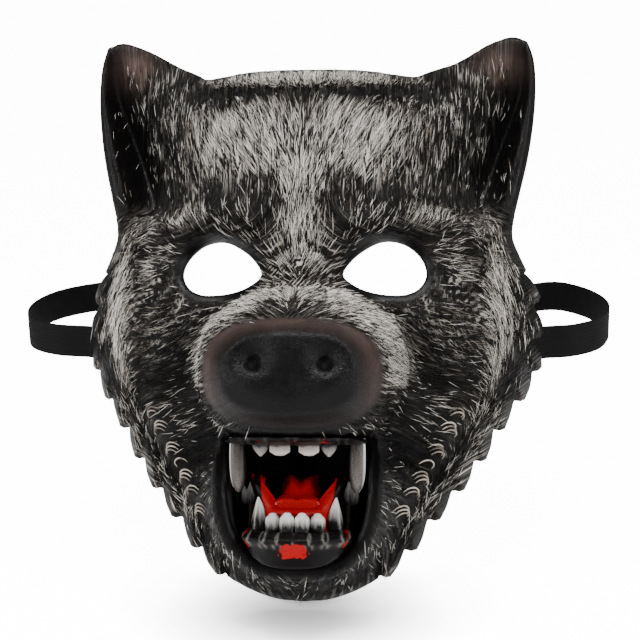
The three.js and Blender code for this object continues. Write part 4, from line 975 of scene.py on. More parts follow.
hook_points, hook_faces = [], []
for side in (-1, 1):
    for place_down, count in HOOK_GROUPS:
        for k in range(count):
            middle = ROW_TOP + (ROW_END - ROW_TOP) * place_down + np.array([0.25, -1.0]) * HOOK_STEP * k
            size = 1 - 0.08 * k
            run = spline([(middle[0] + size * px, middle[1] + size * pz) for px, pz in HOOK], 4)
            first = len(hook_points)
            for step, (px, pz) in enumerate(run):
                ahead = run[min(step + 1, len(run) - 1)] - run[max(step - 1, 0)]
                ahead /= np.linalg.norm(ahead)
                share = step / (len(run) - 1)
                half = HOOK_THICK * math.sin(math.pi * min(max(share, 0.06), 0.94)) ** 0.6
                level = on_foam(px, pz)
                for turn in range(HOOK_SIDES):
                    angle = 2 * math.pi * turn / HOOK_SIDES
                    out, up = half * math.cos(angle), half * math.sin(angle)
                    x, z = side * (px - ahead[1] * out), pz + ahead[0] * out
                    hook_points.append(worn(x, level + HOOK_LIFT + up, z))
            rows = len(run)
            for step in range(rows - 1):
                for turn in range(HOOK_SIDES):
                    a = first + step * HOOK_SIDES + turn
                    b = first + step * HOOK_SIDES + (turn + 1) % HOOK_SIDES
                    hook_faces.append((a, b, b + HOOK_SIDES, a + HOOK_SIDES)[::side])
            last = first + (rows - 1) * HOOK_SIDES
            hook_faces.append(tuple(range(first + HOOK_SIDES - 1, first - 1, -1))[::side])
            hook_faces.append(tuple(range(last, last + HOOK_SIDES))[::side])
hook_mesh = bpy.data.meshes.new("hooked_tufts")
hook_mesh.from_pydata([tuple(p) for p in hook_points], [], hook_faces)
hook_mesh.polygons.foreach_set("use_smooth", [True] * len(hook_faces))
work = bmesh.new()
work.from_mesh(hook_mesh)
bmesh.ops.recalc_face_normals(work, faces=work.faces)
work.to_mesh(hook_mesh)
work.free()
dabs = np.arange(len(hook_points)) // PAINT_RUN
add_value(hook_mesh, "shade", 0.44 + 0.0035 * (7 * dabs % 19))
add_value(hook_mesh, "light", np.ones(len(hook_points)))
hook_mesh.materials.append(hair_paint)
hooks = bpy.data.objects.new("hooked_tufts", hook_mesh)
bpy.context.collection.objects.link(hooks)
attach(hooks, "root")

# Mouth lining. A pocket of thin foam behind the lips, sprayed matt black inside so that
# the throat reads as a dark hole. The built shape stays; it only needs its paint.
lining_black, tree, shader = new_material("sprayed_black_lining")
place = node(tree, "ShaderNodeTexCoord")
spray = node(tree, "ShaderNodeTexNoise", i0=place.outputs["Object"], Scale=900.0, Detail=3.0, Roughness=0.6)
spray_tone = node(tree, "ShaderNodeMix", {"data_type": "RGBA"}, i0=spray.outputs["Fac"],
                  i6=linear("#060606"), i7=linear("#161413"))
spray_bump = node(tree, "ShaderNodeBump", Strength=0.3, Distance=0.0002, Height=spray.outputs["Fac"])
tree.links.new(spray_tone.outputs["Result"], shader.inputs["Base Color"])
tree.links.new(spray_bump.outputs["Normal"], shader.inputs["Normal"])
shader.inputs["Roughness"].default_value = 0.85
dress("mouth_lining", lining_black)


def loft(name, rings):
    """Skins a run of closed rings of places in the face's frame, with both ends filled."""
    rings = np.asarray(rings, float)
    count, around = rings.shape[:2]
    spots = np.vstack([rings.reshape(-1, 3), rings[0].mean(0), rings[-1].mean(0)])
    i, j = (a.ravel() for a in np.meshgrid(np.arange(count - 1), np.arange(around), indexing="ij"))
    k = (j + 1) % around
    quads = np.stack([i * around + j, i * around + k, (i + 1) * around + k, (i + 1) * around + j],
                     1).tolist()
    j = np.arange(around)
    k = (j + 1) % around
    last = (count - 1) * around
    ends = np.stack([k, j, np.full(around, count * around)], 1).tolist()
    ends += np.stack([last + j, last + k, np.full(around, count * around + 1)], 1).tolist()
    mesh = bpy.data.meshes.new(name)
    mesh.from_pydata(worn(*spots.T).tolist(), [], quads + ends)
    solid = bmesh.new()
    solid.from_mesh(mesh)
    if solid.calc_volume(signed=True) < 0:
        mesh.flip_normals()
    solid.free()
    mesh.polygons.foreach_set("use_smooth", np.ones(len(mesh.polygons), bool))
    return mesh


def add_piece(name, mesh, material, slot, *nodes):
    """Puts a mesh in the scene as one piece that stands for CAD nodes."""
    mesh.materials.append(material)
    piece = bpy.data.objects.new(name, mesh)
    bpy.context.collection.objects.link(piece)
    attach(piece, "root")
    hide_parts(*nodes)


# Teeth, as cast in the foam: side place, width and depth as shares of the mouth's width,
# length and root as shares of its height, profile, lean of the tip and hook backwards.
FANG = [(0, 1), (0.22, 0.98), (0.45, 0.84), (0.66, 0.6), (0.85, 0.34), (1, 0.1)]
TUSK = [(0, 0.94), (0.3, 1), (0.62, 0.99), (0.82, 0.88), (0.94, 0.68), (1, 0.42)]
BLADE = [(0, 0.86), (0.35, 0.98), (0.7, 1), (0.9, 0.86), (1, 0.55)]
PLATE = [(0, 0.95), (0.5, 1), (0.86, 1), (0.96, 0.98), (1, 0.9)]
PEG = [(0, 1), (0.4, 0.92), (0.75, 0.62), (1, 0.2)]
TEETH = [
    ("upper_plate", "upper", 0.101, 0.143, 0.063, 0.056, 0.036, PLATE, 0, 0),
    ("upper_incisor", "upper", 0.238, 0.125, 0.079, 0.082, 0.036, PEG, 0, 0),
    ("upper_canine", "upper", 0.424, 0.118, 0.123, 0.365, 0.036, TUSK, -0.004, 0.025),
    ("lower_incisor_inner", "lower", 0.052, 0.107, 0.079, 0.13, 0.051, BLADE, 0, 0),
    ("lower_incisor_outer", "lower", 0.157, 0.107, 0.079, 0.12, 0.051, BLADE, 0, 0),
    ("lower_canine", "lower", 0.262, 0.14, 0.112, 0.235, 0.068, FANG, 0.014, 0),
    ("lower_premolar", "lower", 0.352, 0.1, 0.09, 0.2, 0.051, PEG, 0, 0),
]

# Gums. Two horseshoes of the same foam, painted black-brown outside and blood red inside,
# glossy as if wet. The lower one stands up in a red ridge behind its teeth.
GUM_END = 104
GUM_THICKNESS = 8.0
LOWER_BITE = MOUTH_DROP + 0.735 * MOUTH_HEIGHT
LOWER_HALF = 0.29 * MOUTH_WIDTH
LOWER_FRONT = 1.08 * JAW_REACH
LOWER_BACK = 0.83 * JAW_REACH
UPPER_BITE = MOUTH_DROP + 0.078 * MOUTH_HEIGHT
UPPER_HALF = 0.42 * MOUTH_WIDTH
UPPER_FRONT = 0.79 * SNOUT_REACH
UPPER_BACK = 0.71 * SNOUT_REACH
POCKET_FLOOR = 43.3
UPPER_SECTION = [(-0.5, 1), (-0.5, 0.2), (-0.2, 0), (0.3, 0), (0.7, 0.12), (1.3, 0.5), (1.3, 1)]
LOWER_SECTION = [(-1.05, 1), (-1.05, -0.75), (-0.7, -1.2), (-0.38, -1.0), (-0.25, 0), (0.25, 0), (0.6, 0.14),
                 (0.85, 0.5), (0.8, 1)]
lips = mouth_outline()


def upper_bite(_):
    """The upper gum's biting edge is level all the way round."""
    return -UPPER_BITE


def lower_bite(turn):
    """The lower gum's biting edge rises toward the hinge of the jaw."""
    return -LOWER_BITE + 0.36 * MOUTH_HEIGHT * smooth_step(0.77, 1, turn)


def keep_in_mouth(places):
    """Moves what would pass the lips' outline onto it, so that gums meet the lips."""
    x, z = places[..., 0], places[..., 2]
    near = nearest_on(lips, x, z)[1]
    middle = np.array([0, -MOUTH_DROP - 0.45 * MOUTH_HEIGHT])
    inward = near + (middle - near) / np.linalg.norm(middle - near, axis=-1)[..., None] * 0.3
    out = ~inside(lips, x, z)
    places[..., 0], places[..., 2] = np.where(out, inward[..., 0], x), np.where(out, inward[..., 1], z)
    places[..., 1] = np.maximum(places[..., 1], POCKET_FLOOR)
    return places


def gum(name, slot, jaw, half, front, back, bite, root, section):
    turns = np.linspace(-GUM_END, GUM_END, 241)
    rings, reds, lines = [], [], []
    for turn in turns:
        t = abs(turn) / GUM_END
        sin, cos = math.sin(math.radians(turn)), math.cos(math.radians(turn))
        edge = float(bite(t))
        way = math.copysign(1, root - edge)
        to_side = 0.95 * smooth_step(0.5, 0.85, t)
        ridge = -LOWER_BITE + 0.26 * MOUTH_HEIGHT * smooth_step(0.42, 0.9, t)
        ends = []
        for out, deep in section:
            if deep == 1:
                ends.append((out, root))
            elif deep < 0:
                ends.append((out + to_side, ridge - deep * GUM_THICKNESS))
            else:
                ends.append((out, edge + way * deep * GUM_THICKNESS))
        run = spline([(out * GUM_THICKNESS, z) for out, z in ends], 7)
        r, z = run[:, 0].copy(), run[:, 1].copy()
        below = way * (z - edge)
        x = (half + r) * sin
        face = smooth_step(0.1, 0.4, r / GUM_THICKNESS)
        line = np.zeros(len(r))
        for row in TEETH:
            if row[1] != jaw:
                continue
            wide = row[3] * MOUTH_WIDTH
            from_tooth = (np.abs(x) - row[2] * MOUTH_WIDTH) / (0.56 * wide)
            r += 2.1 * face * np.exp(-from_tooth**4) * np.exp(-((below - 3.0) / 3.0) ** 2)
            oval_gap = np.hypot(from_tooth / 1.0, (below - 1.8) / 4.2) - 1
            line = np.maximum(line, 0.5 * face * np.exp(-((oval_gap / 0.08) ** 2)))
        rings.append(np.stack([(half + r) * sin, back + (front - back + r) * cos, z], 1))
        if jaw == "lower":
            red = 1 - smooth_step(-0.2, 0.05, r / GUM_THICKNESS)
            patch = 1.5 - np.maximum(np.abs(x) / 5.9, np.abs(z + MOUTH_DROP + 0.862 * MOUTH_HEIGHT) / 3.0)
            sliver = np.exp(-(((np.abs(x) - 20.6) / 1.1) ** 2)) * face * (below < 9)
            red = np.maximum.reduce([red, np.clip(patch, 0, 1) * face, 0.55 * sliver])
        else:
            spots = np.exp(-(((np.abs(x) - 13.5) / 2.4) ** 2)) + 0.7 * np.exp(-((x / 5) ** 2))
            red = 0.4 * spots * np.exp(-(((below - 2) / 3) ** 2))
            line *= 0.25
        reds.append(red)
        lines.append(line)
    mesh = loft(name, keep_in_mouth(np.array(rings)))
    add_value(mesh, "red", np.concatenate(reds))
    add_value(mesh, "line", np.concatenate(lines))
    add_piece(name, mesh, gum_paint, slot, f"{jaw}_gum")


gum_paint, tree, shader = new_material("glossy_painted_gum")
place = node(tree, "ShaderNodeTexCoord")
red_at = node(tree, "ShaderNodeAttribute", {"attribute_name": "red"})
line_at = node(tree, "ShaderNodeAttribute", {"attribute_name": "line"})
ragged = node(tree, "ShaderNodeTexNoise", i0=place.outputs["Object"], Scale=420.0, Detail=2.0, Roughness=0.5)
fine = node(tree, "ShaderNodeTexNoise", i0=place.outputs["Object"], Scale=2600.0, Detail=2.0, Roughness=0.6)
shift = node(tree, "ShaderNodeMath", {"operation": "MULTIPLY_ADD"}, i0=ragged.outputs["Fac"], i1=1.2,
             i2=-0.6)
moved = node(tree, "ShaderNodeMath", {"operation": "ADD"}, i0=red_at.outputs["Fac"],
             i1=shift.outputs["Value"])
red_mask = node(tree, "ShaderNodeMapRange", i0=moved.outputs["Value"], i1=0.46, i2=0.56, i3=0.0, i4=1.0)
blood = node(tree, "ShaderNodeMix", {"data_type": "RGBA"}, i0=fine.outputs["Fac"], i6=linear("#7c0206"),
             i7=linear("#cc0a10"))
gum_dark = node(tree, "ShaderNodeMix", {"data_type": "RGBA"}, i0=ragged.outputs["Fac"], i6=linear("#040303"),
                i7=linear("#100d0c"))
line_gain = node(tree, "ShaderNodeMath", {"operation": "MULTIPLY"}, i0=line_at.outputs["Fac"],
                 i1=ragged.outputs["Fac"])
outlined = node(tree, "ShaderNodeMix", {"data_type": "RGBA"}, i0=line_gain.outputs["Value"],
                i6=gum_dark.outputs["Result"], i7=linear("#bdb7b0"))
gum_colour = node(tree, "ShaderNodeMix", {"data_type": "RGBA"}, i0=red_mask.outputs["Result"],
                  i6=outlined.outputs["Result"], i7=blood.outputs["Result"])
gum_bump = node(tree, "ShaderNodeBump", Strength=0.45, Distance=0.0003, Height=fine.outputs["Fac"])
gum_gloss = node(tree, "ShaderNodeMapRange", i0=fine.outputs["Fac"], i1=0.3, i2=0.7, i3=0.26, i4=0.44)
shader.inputs["Specular IOR Level"].default_value = 0.12
tree.links.new(gum_colour.outputs["Result"], shader.inputs["Base Color"])
tree.links.new(gum_bump.outputs["Normal"], shader.inputs["Normal"])
tree.links.new(gum_gloss.outputs["Result"], shader.inputs["Roughness"])
gum("upper_gum_form", "dark_gum", "upper", UPPER_HALF, UPPER_FRONT, UPPER_BACK, upper_bite,
    -MOUTH_DROP + 0.1 * MOUTH_HEIGHT, UPPER_SECTION)
gum("lower_gum_form", "red_gum", "lower", LOWER_HALF, LOWER_FRONT, LOWER_BACK, lower_bite,
    -MOUTH_DROP - 1.05 * MOUTH_HEIGHT, LOWER_SECTION)

# Teeth. Hard white paint over the foam's pegs, with grey and black brushed up from the roots in streaks; the
# long upper pair are stippled grey, with a painted highlight near white along the outer edge and painted
# shade near black on the inner side.


def tooth_paint(name, root_to, root_from, body, tip, painted_side_light, stipple):
    """Paint of one kind of tooth: how far the dark root reaches, its body's colours, and the painted
    highlight and shade of its sides.
    """
    made, tree, shader = new_material(name)
    place = node(tree, "ShaderNodeTexCoord")
    along_at = node(tree, "ShaderNodeAttribute", {"attribute_name": "along"})
    outer_at = node(tree, "ShaderNodeAttribute", {"attribute_name": "outer"})
    round_at = node(tree, "ShaderNodeAttribute", {"attribute_name": "streak"})
    streaks = node(tree, "ShaderNodeTexNoise", i0=round_at.outputs["Vector"], Scale=1.0, Detail=3.0,
                   Roughness=0.6)
    specks = node(tree, "ShaderNodeTexNoise", i0=place.outputs["Object"], Scale=2400.0, Detail=2.0,
                  Roughness=0.6)
    shift = node(tree, "ShaderNodeMath", {"operation": "MULTIPLY_ADD"}, i0=streaks.outputs["Fac"], i1=-0.9,
                 i2=along_at.outputs["Fac"])
    root = node(tree, "ShaderNodeMapRange", i0=shift.outputs["Value"], i1=root_from - 0.45,
                i2=root_to - 0.45, i3=0.0, i4=1.0)
    speckled = node(tree, "ShaderNodeMapRange", i0=specks.outputs["Fac"], i1=0.38, i2=0.62, i3=1 - stipple,
                    i4=1.0)
    tone = node(tree, "ShaderNodeMix", {"data_type": "RGBA"}, i0=along_at.outputs["Fac"], i6=linear(body),
                i7=linear(tip))
    stippled = node(tree, "ShaderNodeMix", {"data_type": "RGBA"}, i0=speckled.outputs["Result"],
                    i6=linear("#3c3835"), i7=tone.outputs["Result"])
    rooted = node(tree, "ShaderNodeMix", {"data_type": "RGBA"}, i0=root.outputs["Result"],
                  i6=linear("#0f0d0c"), i7=stippled.outputs["Result"])
    # Painted shade: the inner side of the tooth darkens to near black.
    inner = node(tree, "ShaderNodeMapRange", i0=outer_at.outputs["Fac"], i1=-0.95, i2=-0.05, i3=painted_side_light,
                 i4=0.0)
    shaded = node(tree, "ShaderNodeMix", {"data_type": "RGBA"}, i0=inner.outputs["Result"],
                  i6=rooted.outputs["Result"], i7=linear("#141110"))
    # Painted highlight: the outer side of the tooth turns near white.
    painted_highlight = node(tree, "ShaderNodeMapRange", i0=outer_at.outputs["Fac"], i1=0.7, i2=0.9, i3=0.0,
                  i4=painted_side_light)
    highlighted = node(tree, "ShaderNodeMix", {"data_type": "RGBA"}, i0=painted_highlight.outputs["Result"],
                 i6=shaded.outputs["Result"], i7=linear("#f2eeea"))
    bump = node(tree, "ShaderNodeBump", Strength=0.25, Distance=0.0002, Height=specks.outputs["Fac"])
    gloss = node(tree, "ShaderNodeMapRange", i0=specks.outputs["Fac"], i1=0.3, i2=0.7, i3=0.22, i4=0.38)
    tree.links.new(highlighted.outputs["Result"], shader.inputs["Base Color"])
    tree.links.new(bump.outputs["Normal"], shader.inputs["Normal"])
    tree.links.new(gloss.outputs["Result"], shader.inputs["Roughness"])
    return made


lower_paint = tooth_paint("white_tooth_paint", 0.75, 0.25, "#b4aea8", "#f4f2ee", 0.0, 0.12)
# The upper incisors are painted a darker grey than the lower teeth.
incisor_paint = tooth_paint("dark_grey_tooth_paint", 0.35, 0.05, "#4a4643", "#aaa39e", 0.0, 0.35)
plate_paint = tooth_paint("plate_tooth_paint", 0.2, -0.05, "#9c928d", "#d8cfca", 0.0, 0.2)
# The long upper teeth get the full painted highlight and painted shade on their two sides.
tusk_paint = tooth_paint("stippled_fang_paint", 0.12, -0.1, "#57514d", "#736c67", 1.0, 0.6)
PAINTS = {"upper_plate": (plate_paint, "tooth"), "upper_incisor": (incisor_paint, "tooth"),
          "upper_canine": (tusk_paint, "fang"), "lower_canine": (lower_paint, "fang")}
AROUND = 32


def seat(row):
    """Where a tooth stands on its gum: side place, height and level of its root."""
    upper = row[1] == "upper"
    half, front, back = LOWER_HALF, LOWER_FRONT, LOWER_BACK
    if upper:
        half, front, back = UPPER_HALF, UPPER_FRONT, UPPER_BACK
    x = row[2] * MOUTH_WIDTH
    sin = min(x / half, 1)
    turn = math.degrees(math.asin(sin)) / GUM_END
    deep = back - 0.4 * GUM_THICKNESS if x > half else back + (front - back) * math.sqrt(1 - sin * sin)
    level = float(upper_bite(turn) if upper else lower_bite(turn))
    return x, deep, level + row[6] * MOUTH_HEIGHT * (1 if upper else -1), -1 if upper else 1


def tooth_rings(row, side, shift=0.0, scale=1.0, splay=0.0):
    """Rings of one tooth from root to tip, closed by a round tip, with what its paint reads."""
    name, _, _, wide, deep, long, root, profile, lean, hook = row
    wide, deep = wide * MOUTH_WIDTH * scale, deep * MOUTH_WIDTH * scale
    whole = (long + root) * MOUTH_HEIGHT * scale
    x, height, level, points = seat(row)
    flat = 2.2 if profile not in (BLADE, PLATE) else 3.2
    run = [tuple(p) for p in spline(profile, 6)]
    tip = run[-1][1]
    for angle in (25, 50, 70, 85) if profile is not PLATE else (60, 85):
        rise = math.sin(math.radians(angle)) * tip * deep / 2 / whole
        run.append((1 + 0.8 * rise, tip * math.cos(math.radians(angle))))
    turn = np.linspace(0, 2 * math.pi, AROUND, endpoint=False)
    c, s = np.cos(turn), np.sin(turn)
    c, s = np.sign(c) * np.abs(c) ** (2 / flat), np.sign(s) * np.abs(s) ** (2 / flat)
    groove = 1 - 0.06 * np.exp(-((c / 0.3) ** 2)) * (s < 0)
    rings, along_tooth, outer, streak = [], [], [], []
    for share, thick in run:
        px = c * thick * wide / 2 + side * (lean * MOUTH_WIDTH + splay) * share**2
        py = s * groove * thick * deep / 2 + hook * MOUTH_WIDTH * share**2
        up = np.full(AROUND, level + points * whole * share)
        rings.append(np.stack([side * (x + shift) + px, height - py, up], 1))
        along_tooth.append(np.full(AROUND, max(0, (share - root / (long + root)) * (long + root) / long)))
        outer.append(c * side)
        streak.append(np.stack([turn * 2.6 + x, np.full(AROUND, share * 1.4),
                                np.full(AROUND, side * 3.0 + x)], 1))
    return rings, along_tooth, outer, streak


def tooth_mesh(name, row, side, **changes):
    """One tooth's mesh, with the values that its paint reads."""
    rings, along_tooth, outer, streak = tooth_rings(row, side, **changes)
    mesh = loft(name, rings)
    add_value(mesh, "along", np.concatenate(along_tooth))
    add_value(mesh, "outer", np.concatenate(outer))
    add_value(mesh, "streak", np.concatenate(streak), "FLOAT_VECTOR")
    return mesh


for row in TEETH:
    name = row[0]
    paint, slot = PAINTS.get(name, (lower_paint, "tooth"))
    for side, word in ((-1, "left"), (1, "right")):
        mesh = tooth_mesh(f"{name}_{word}_form", row, side)
        if name == "lower_premolar":
            prong = tooth_mesh("second_prong", row, side, shift=2.0, scale=0.86, splay=1.6)
            both = bmesh.new()
            both.from_mesh(mesh)
            both.from_mesh(prong)
            both.to_mesh(mesh)
            both.free()
            bpy.data.meshes.remove(prong)
            mesh.polygons.foreach_set("use_smooth", np.ones(len(mesh.polygons), bool))
        add_piece(f"{name}_{word}_form", mesh, paint, slot, f"{name}_{word}")

# Tongue. Part of the same foam casting, glossy red, with a flat tip behind the front teeth
# and two round lobes that fade to purple and black towards the throat.
TONGUE_WIDTH = 25.0
TONGUE_ROWS = [(0, 0.9, 1.0), (0.3, 0.86, 0.98), (0.5, 0.8, 0.95), (0.64, 0.72, 0.88), (0.74, 0.9, 0.8),
               (0.86, 1.0, 0.78), (0.96, 1.0, 0.765), (0.99, 0.96, 0.74), (1, 0.9, 0.66)]
tongue_floor = -MOUTH_DROP - 1.03 * MOUTH_HEIGHT
tongue_back = POCKET_FLOOR - 0.3
tongue_long = LOWER_FRONT - 1.45 * GUM_THICKNESS - tongue_back
tongue_tall = 0.62 * MOUTH_HEIGHT
rings, depths = [], []
for deep, wide, rise in spline(TONGUE_ROWS, 8):
    half = wide * TONGUE_WIDTH / 2
    top = tongue_floor + (0.08 + rise) * tongue_tall
    across = np.cos(np.linspace(0, math.pi, 41))
    crown = (1 - np.abs(across) ** 6) ** (1 / 6)
    lobes = 1.6 * np.exp(-(((np.abs(across) - 0.5) / 0.26) ** 2)) * math.exp(-(((deep - 0.52) / 0.2) ** 2))
    furrow = 0.9 * np.exp(-((across / 0.12) ** 2)) * smooth_step(1.05, 0.9, deep)
    level = tongue_floor + (top - tongue_floor) * crown + (lobes - furrow) * crown
    ring = np.stack([across * half, np.full(41, tongue_back + deep * tongue_long), level], 1)
    low = ring[::-4].copy()
    low[:, 2] = tongue_floor
    rings.append(np.vstack([ring, low[1:-1]]))
    depths.append(np.full(len(rings[-1]), deep))
tongue_mesh = loft("tongue_form", keep_in_mouth(np.array(rings)))
add_value(tongue_mesh, "deep", np.concatenate(depths))
tongue_paint, tree, shader = new_material("glossy_tongue_paint")
place = node(tree, "ShaderNodeTexCoord")
deep_at = node(tree, "ShaderNodeAttribute", {"attribute_name": "deep"})
buds = node(tree, "ShaderNodeTexNoise", i0=place.outputs["Object"], Scale=1500.0, Detail=2.0, Roughness=0.6)
cloud = node(tree, "ShaderNodeTexNoise", i0=place.outputs["Object"], Scale=170.0, Detail=2.0, Roughness=0.6)
shift = node(tree, "ShaderNodeMath", {"operation": "MULTIPLY_ADD"}, i0=cloud.outputs["Fac"], i1=0.5,
             i2=deep_at.outputs["Fac"])
fade = node(tree, "ShaderNodeValToRGB", i0=shift.outputs["Value"])
fade.color_ramp.elements[0].position = 0.52
fade.color_ramp.elements[0].color = linear("#0a0608")
fade.color_ramp.elements[1].position = 0.8
fade.color_ramp.elements[1].color = linear("#c4080e")
purple = fade.color_ramp.elements.new(0.64)
purple.color = linear("#5c1224")
spotted = node(tree, "ShaderNodeMix", {"data_type": "RGBA", "blend_type": "MULTIPLY"}, i0=0.35,
               i6=fade.outputs["Color"], i7=buds.outputs["Color"])
tongue_bump = node(tree, "ShaderNodeBump", Strength=0.5, Distance=0.0003, Height=buds.outputs["Fac"])
wet = node(tree, "ShaderNodeMapRange", i0=buds.outputs["Fac"], i1=0.3, i2=0.7, i3=0.2, i4=0.36)
tree.links.new(spotted.outputs["Result"], shader.inputs["Base Color"])
tree.links.new(tongue_bump.outputs["Normal"], shader.inputs["Normal"])
tree.links.new(wet.outputs["Result"], shader.inputs["Roughness"])
add_piece("tongue_form", tongue_mesh, tongue_paint, "tongue", "tongue")

# Nostrils. Two blind breathing holes pressed into the nose pad, each with a small raised
# collar; both the collar and the cup are black and a little glossy.
NOSTRIL_CUP = [(1.55, -0.5), (1.5, -0.05), (1.38, 0.12), (1.24, 0.05), (1.15, -0.3), (1.1, -2.2),
               (0.8, -2.7), (0, -2.75)]
nostril_paint, tree, shader = new_material("moulded_nostril")
place = node(tree, "ShaderNodeTexCoord")
grain = node(tree, "ShaderNodeTexNoise", i0=place.outputs["Object"], Scale=1800.0, Detail=2.0, Roughness=0.5)
nostril_tone = node(tree, "ShaderNodeMix", {"data_type": "RGBA"}, i0=grain.outputs["Fac"],
                    i6=linear("#020202"), i7=linear("#080808"))
nostril_bump = node(tree, "ShaderNodeBump", Strength=0.3, Distance=0.0002, Height=grain.outputs["Fac"])
tree.links.new(nostril_tone.outputs["Result"], shader.inputs["Base Color"])
tree.links.new(nostril_bump.outputs["Normal"], shader.inputs["Normal"])
shader.inputs["Roughness"].default_value = 0.6
shader.inputs["Specular IOR Level"].default_value = 0.06
for side, word in ((-1, "left"), (1, "right")):
    cup_x, cup_z = side * NOSTRIL_SPACING / 2, 0.07 * NOSE_HEIGHT - SNOUT_DROP
    turn = np.linspace(0, 2 * math.pi, 40, endpoint=False)
    rings = []
    for reach, rise in spline(NOSTRIL_CUP, 5)[:-1]:
        x = cup_x + reach * NOSTRIL_DIAMETER / 2 * np.cos(turn)
        z = cup_z + reach * NOSTRIL_DIAMETER / 2 * np.sin(turn)
        bed = outer_height(np.full(1, cup_x), np.full(1, cup_z))[0]
        tilt_x = (outer_height(np.full(1, cup_x + 2), np.full(1, cup_z))[0] - bed) / 2
        tilt_z = (outer_height(np.full(1, cup_x), np.full(1, cup_z + 2))[0] - bed) / 2
        rings.append(np.stack([x, bed + tilt_x * (x - cup_x) + tilt_z * (z - cup_z) + rise, z], 1))
    cup_mesh = loft(f"nostril_{word}", rings)
    cup_mesh.materials.append(nostril_paint)
    cup = bpy.data.objects.new(f"nostril_{word}", cup_mesh)
    bpy.context.collection.objects.link(cup)
    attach(cup, "root")

# Strap. One loop of black elastic webbing, 17 mm wide and a little over 1 mm thick, woven
# with cords along its length; it hangs a little at the back, between the two pads.
STRAP_WIDTH = 17.0
STRAP_THICKNESS = 1.2
STRAP_DROP = 38.0
LOOP_WIDTH = 314.5
LOOP_DEPTH = 118.0
LOOP_SHIFT = -4.4
LOOP_SAG = 22.0
ANCHOR_THICKNESS = 5.0
STRAP_OFF = ANCHOR_THICKNESS / 2 + 0.3
CORDS = 9
CORD_DEPTH = 0.16
LOOP = [(0.19, 0.026), (0.58, 0.08), (0.88, 0.21), (1, 0.46), (0.85, 0.72), (0.43, 0.9), (-0.25, 0.98),
        (-1.1, 1)]


def on_inner_wall(height):
    """A place on the foam's inner face at the strap's level, in the row's frame, in mm."""
    z = (-STRAP_DROP - height * math.sin(LEAN)) / math.cos(LEAN)
    low, high = 0.5 * HALF, HALF
    for _ in range(30):
        middle = (low + high) / 2
        if inner_height(np.full(1, middle), np.full(1, z), WALL + STRAP_OFF)[0] > height:
            low = middle
        else:
            high = middle
    spot = worn(low, height, z) / MM
    return spot[0], spot[1]


wall_run = [on_inner_wall(share * FACE_DEPTH) for share in (0.36, 0.23, 0.1)]
rim_x = wall_run[-1][0]
strap_points = []
for sign in (-1, 1):
    run = [(sign * x, y) for x, y in wall_run]
    for out, deep in LOOP:
        x = rim_x + out * (LOOP_WIDTH / 2 - rim_x) + sign * LOOP_SHIFT * smooth_step(0.1, 0.85, out)
        run.append((sign * x, deep * LOOP_DEPTH))
    strap_points += run + [(0, LOOP_DEPTH)] if sign < 0 else run[::-1]
knots = np.array([strap_points[0]] + strap_points + [strap_points[-1]])
PER_SPAN = 60
MARKS = 320  # cross-sections along the band
path = []
for i in range(1, len(knots) - 2):
    t = np.linspace(0, 1, PER_SPAN, endpoint=False)[:, None]
    path.append(curve_between(*knots[i - 1:i + 3], t))
path = np.vstack(path + [knots[-1:]])
path_length = np.concatenate([[0], np.cumsum(np.linalg.norm(np.diff(path, axis=0), axis=1))])
marks = np.linspace(0, path_length[-1], MARKS)
path = np.stack([np.interp(marks, path_length, path[:, k]) for k in (0, 1)], 1)
run = np.gradient(path, axis=0)
run /= np.linalg.norm(run, axis=1)[:, None]
hang = 1 - (path[:, 0] / (0.4 * LOOP_WIDTH)) ** 2
sag = smooth_max(0, LOOP_SAG * hang, 0.15 * LOOP_SAG)
level = -STRAP_DROP - np.where(path[:, 1] < LOOP_DEPTH / 2, 0, sag)
across = np.linspace(-1, 1, 10 * CORDS + 1)
rib = CORD_DEPTH * (np.abs(np.sin(across * CORDS * math.pi / 2 + math.pi / 2 * (CORDS % 2 == 0))) - 1)
edge_fall = 0.3 * np.clip((np.abs(across) - 0.93) / 0.07, 0, 1) ** 2
outer_face = STRAP_THICKNESS / 2 + rib - edge_fall
outer_side = np.stack([outer_face, across], 1)
inner_side = np.stack([-STRAP_THICKNESS / 2 + edge_fall[::-4], across[::-4]], 1)
section = np.vstack([outer_side, inner_side])


def swept():
    """The band's section stood upright at each mark of its path."""
    rings = []
    for (x, y), (rx, ry), z in zip(path, run, level):
        up = z + section[:, 1] * STRAP_WIDTH / 2
        rings.append(np.stack([x - section[:, 0] * ry, y + section[:, 0] * rx, up], 1))
    return np.array(rings)


A_SIDE_MARK = 40  # a mark where the band runs along the side of the head
rings = swept()
outward = (rings[A_SIDE_MARK, 0, 0] - rings[A_SIDE_MARK, -1, 0]) * path[A_SIDE_MARK, 0]
if outward < 0:
    section[:, 0] *= -1
    rings = swept()
in_face = np.stack([rings[..., 0], rings[..., 2] * math.sin(LEAN) - rings[..., 1] * math.cos(LEAN),
                    rings[..., 2] * math.cos(LEAN) + rings[..., 1] * math.sin(LEAN)], -1)
strap_mesh = loft("webbing_strap", in_face)
weave_at = np.stack([np.repeat(marks, len(section)), np.tile(section[:, 1] * STRAP_WIDTH / 2, len(marks)),
                     np.zeros(len(marks) * len(section))], 1)
add_value(strap_mesh, "weave", weave_at, "FLOAT_VECTOR")
webbing, tree, shader = new_material("woven_elastic_webbing")
weave = node(tree, "ShaderNodeAttribute", {"attribute_name": "weave"})
PICK_MM = 0.55
picks = node(tree, "ShaderNodeVectorMath", {"operation": "MULTIPLY"}, i0=weave.outputs["Vector"],
             i1=(1 / PICK_MM, 1 / 0.9, 0))
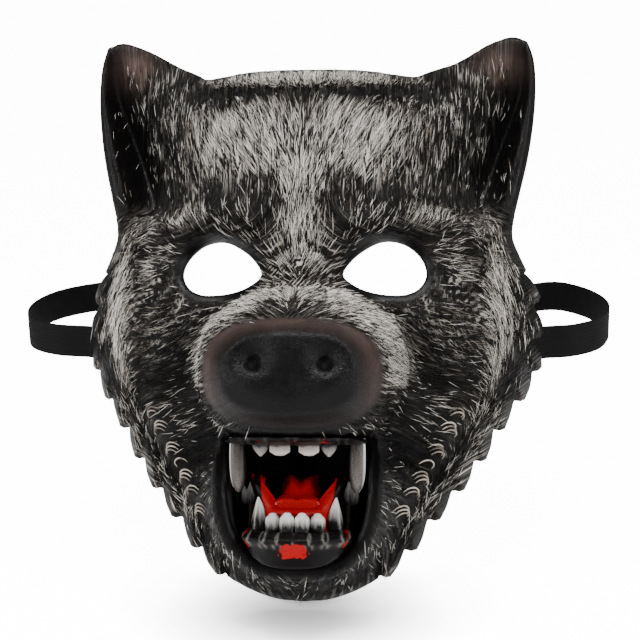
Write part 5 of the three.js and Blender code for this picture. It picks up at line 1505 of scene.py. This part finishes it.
yarn = node(tree, "ShaderNodeTexWave", {"wave_type": "BANDS", "bands_direction": "X"},
            i0=picks.outputs["Vector"], Scale=0.314, Distortion=1.2, Detail=2.0)
fuzz = node(tree, "ShaderNodeTexNoise", i0=picks.outputs["Vector"], Scale=1.4, Detail=3.0, Roughness=0.7)
wear = node(tree, "ShaderNodeMath", {"operation": "MULTIPLY"}, i0=yarn.outputs["Fac"],
            i1=fuzz.outputs["Fac"])
web_tone = node(tree, "ShaderNodeMix", {"data_type": "RGBA"}, i0=wear.outputs["Value"], i6=linear("#060606"),
                i7=linear("#171616"))
web_bump = node(tree, "ShaderNodeBump", Strength=0.7, Distance=0.0002, Height=wear.outputs["Value"])
web_rough = node(tree, "ShaderNodeMapRange", i0=fuzz.outputs["Fac"], i1=0.3, i2=0.7, i3=0.62, i4=0.85)
tree.links.new(web_tone.outputs["Result"], shader.inputs["Base Color"])
tree.links.new(web_bump.outputs["Normal"], shader.inputs["Normal"])
shader.inputs["Specular IOR Level"].default_value = 0.14
tree.links.new(web_rough.outputs["Result"], shader.inputs["Roughness"])
add_piece("webbing_strap", strap_mesh, webbing, "webbing", "elastic_strap")

# Strap pads. Squares of black felt glued inside the rim over the ends of the strap. The
# built shapes follow the foam, so they stay, in a matted felt.
felt, tree, shader = new_material("black_felt_pad")
place = node(tree, "ShaderNodeTexCoord")
fibres = node(tree, "ShaderNodeTexNoise", i0=place.outputs["Object"], Scale=2200.0, Detail=4.0,
              Roughness=0.7, Distortion=1.5)
felt_tone = node(tree, "ShaderNodeMix", {"data_type": "RGBA"}, i0=fibres.outputs["Fac"],
                 i6=linear("#0d0d0d"), i7=linear("#2f2d2c"))
felt_bump = node(tree, "ShaderNodeBump", Strength=0.8, Distance=0.0004, Height=fibres.outputs["Fac"])
tree.links.new(felt_tone.outputs["Result"], shader.inputs["Base Color"])
tree.links.new(felt_bump.outputs["Normal"], shader.inputs["Normal"])
shader.inputs["Roughness"].default_value = 0.95
dress("strap_pad_left", felt)
dress("strap_pad_right", felt)
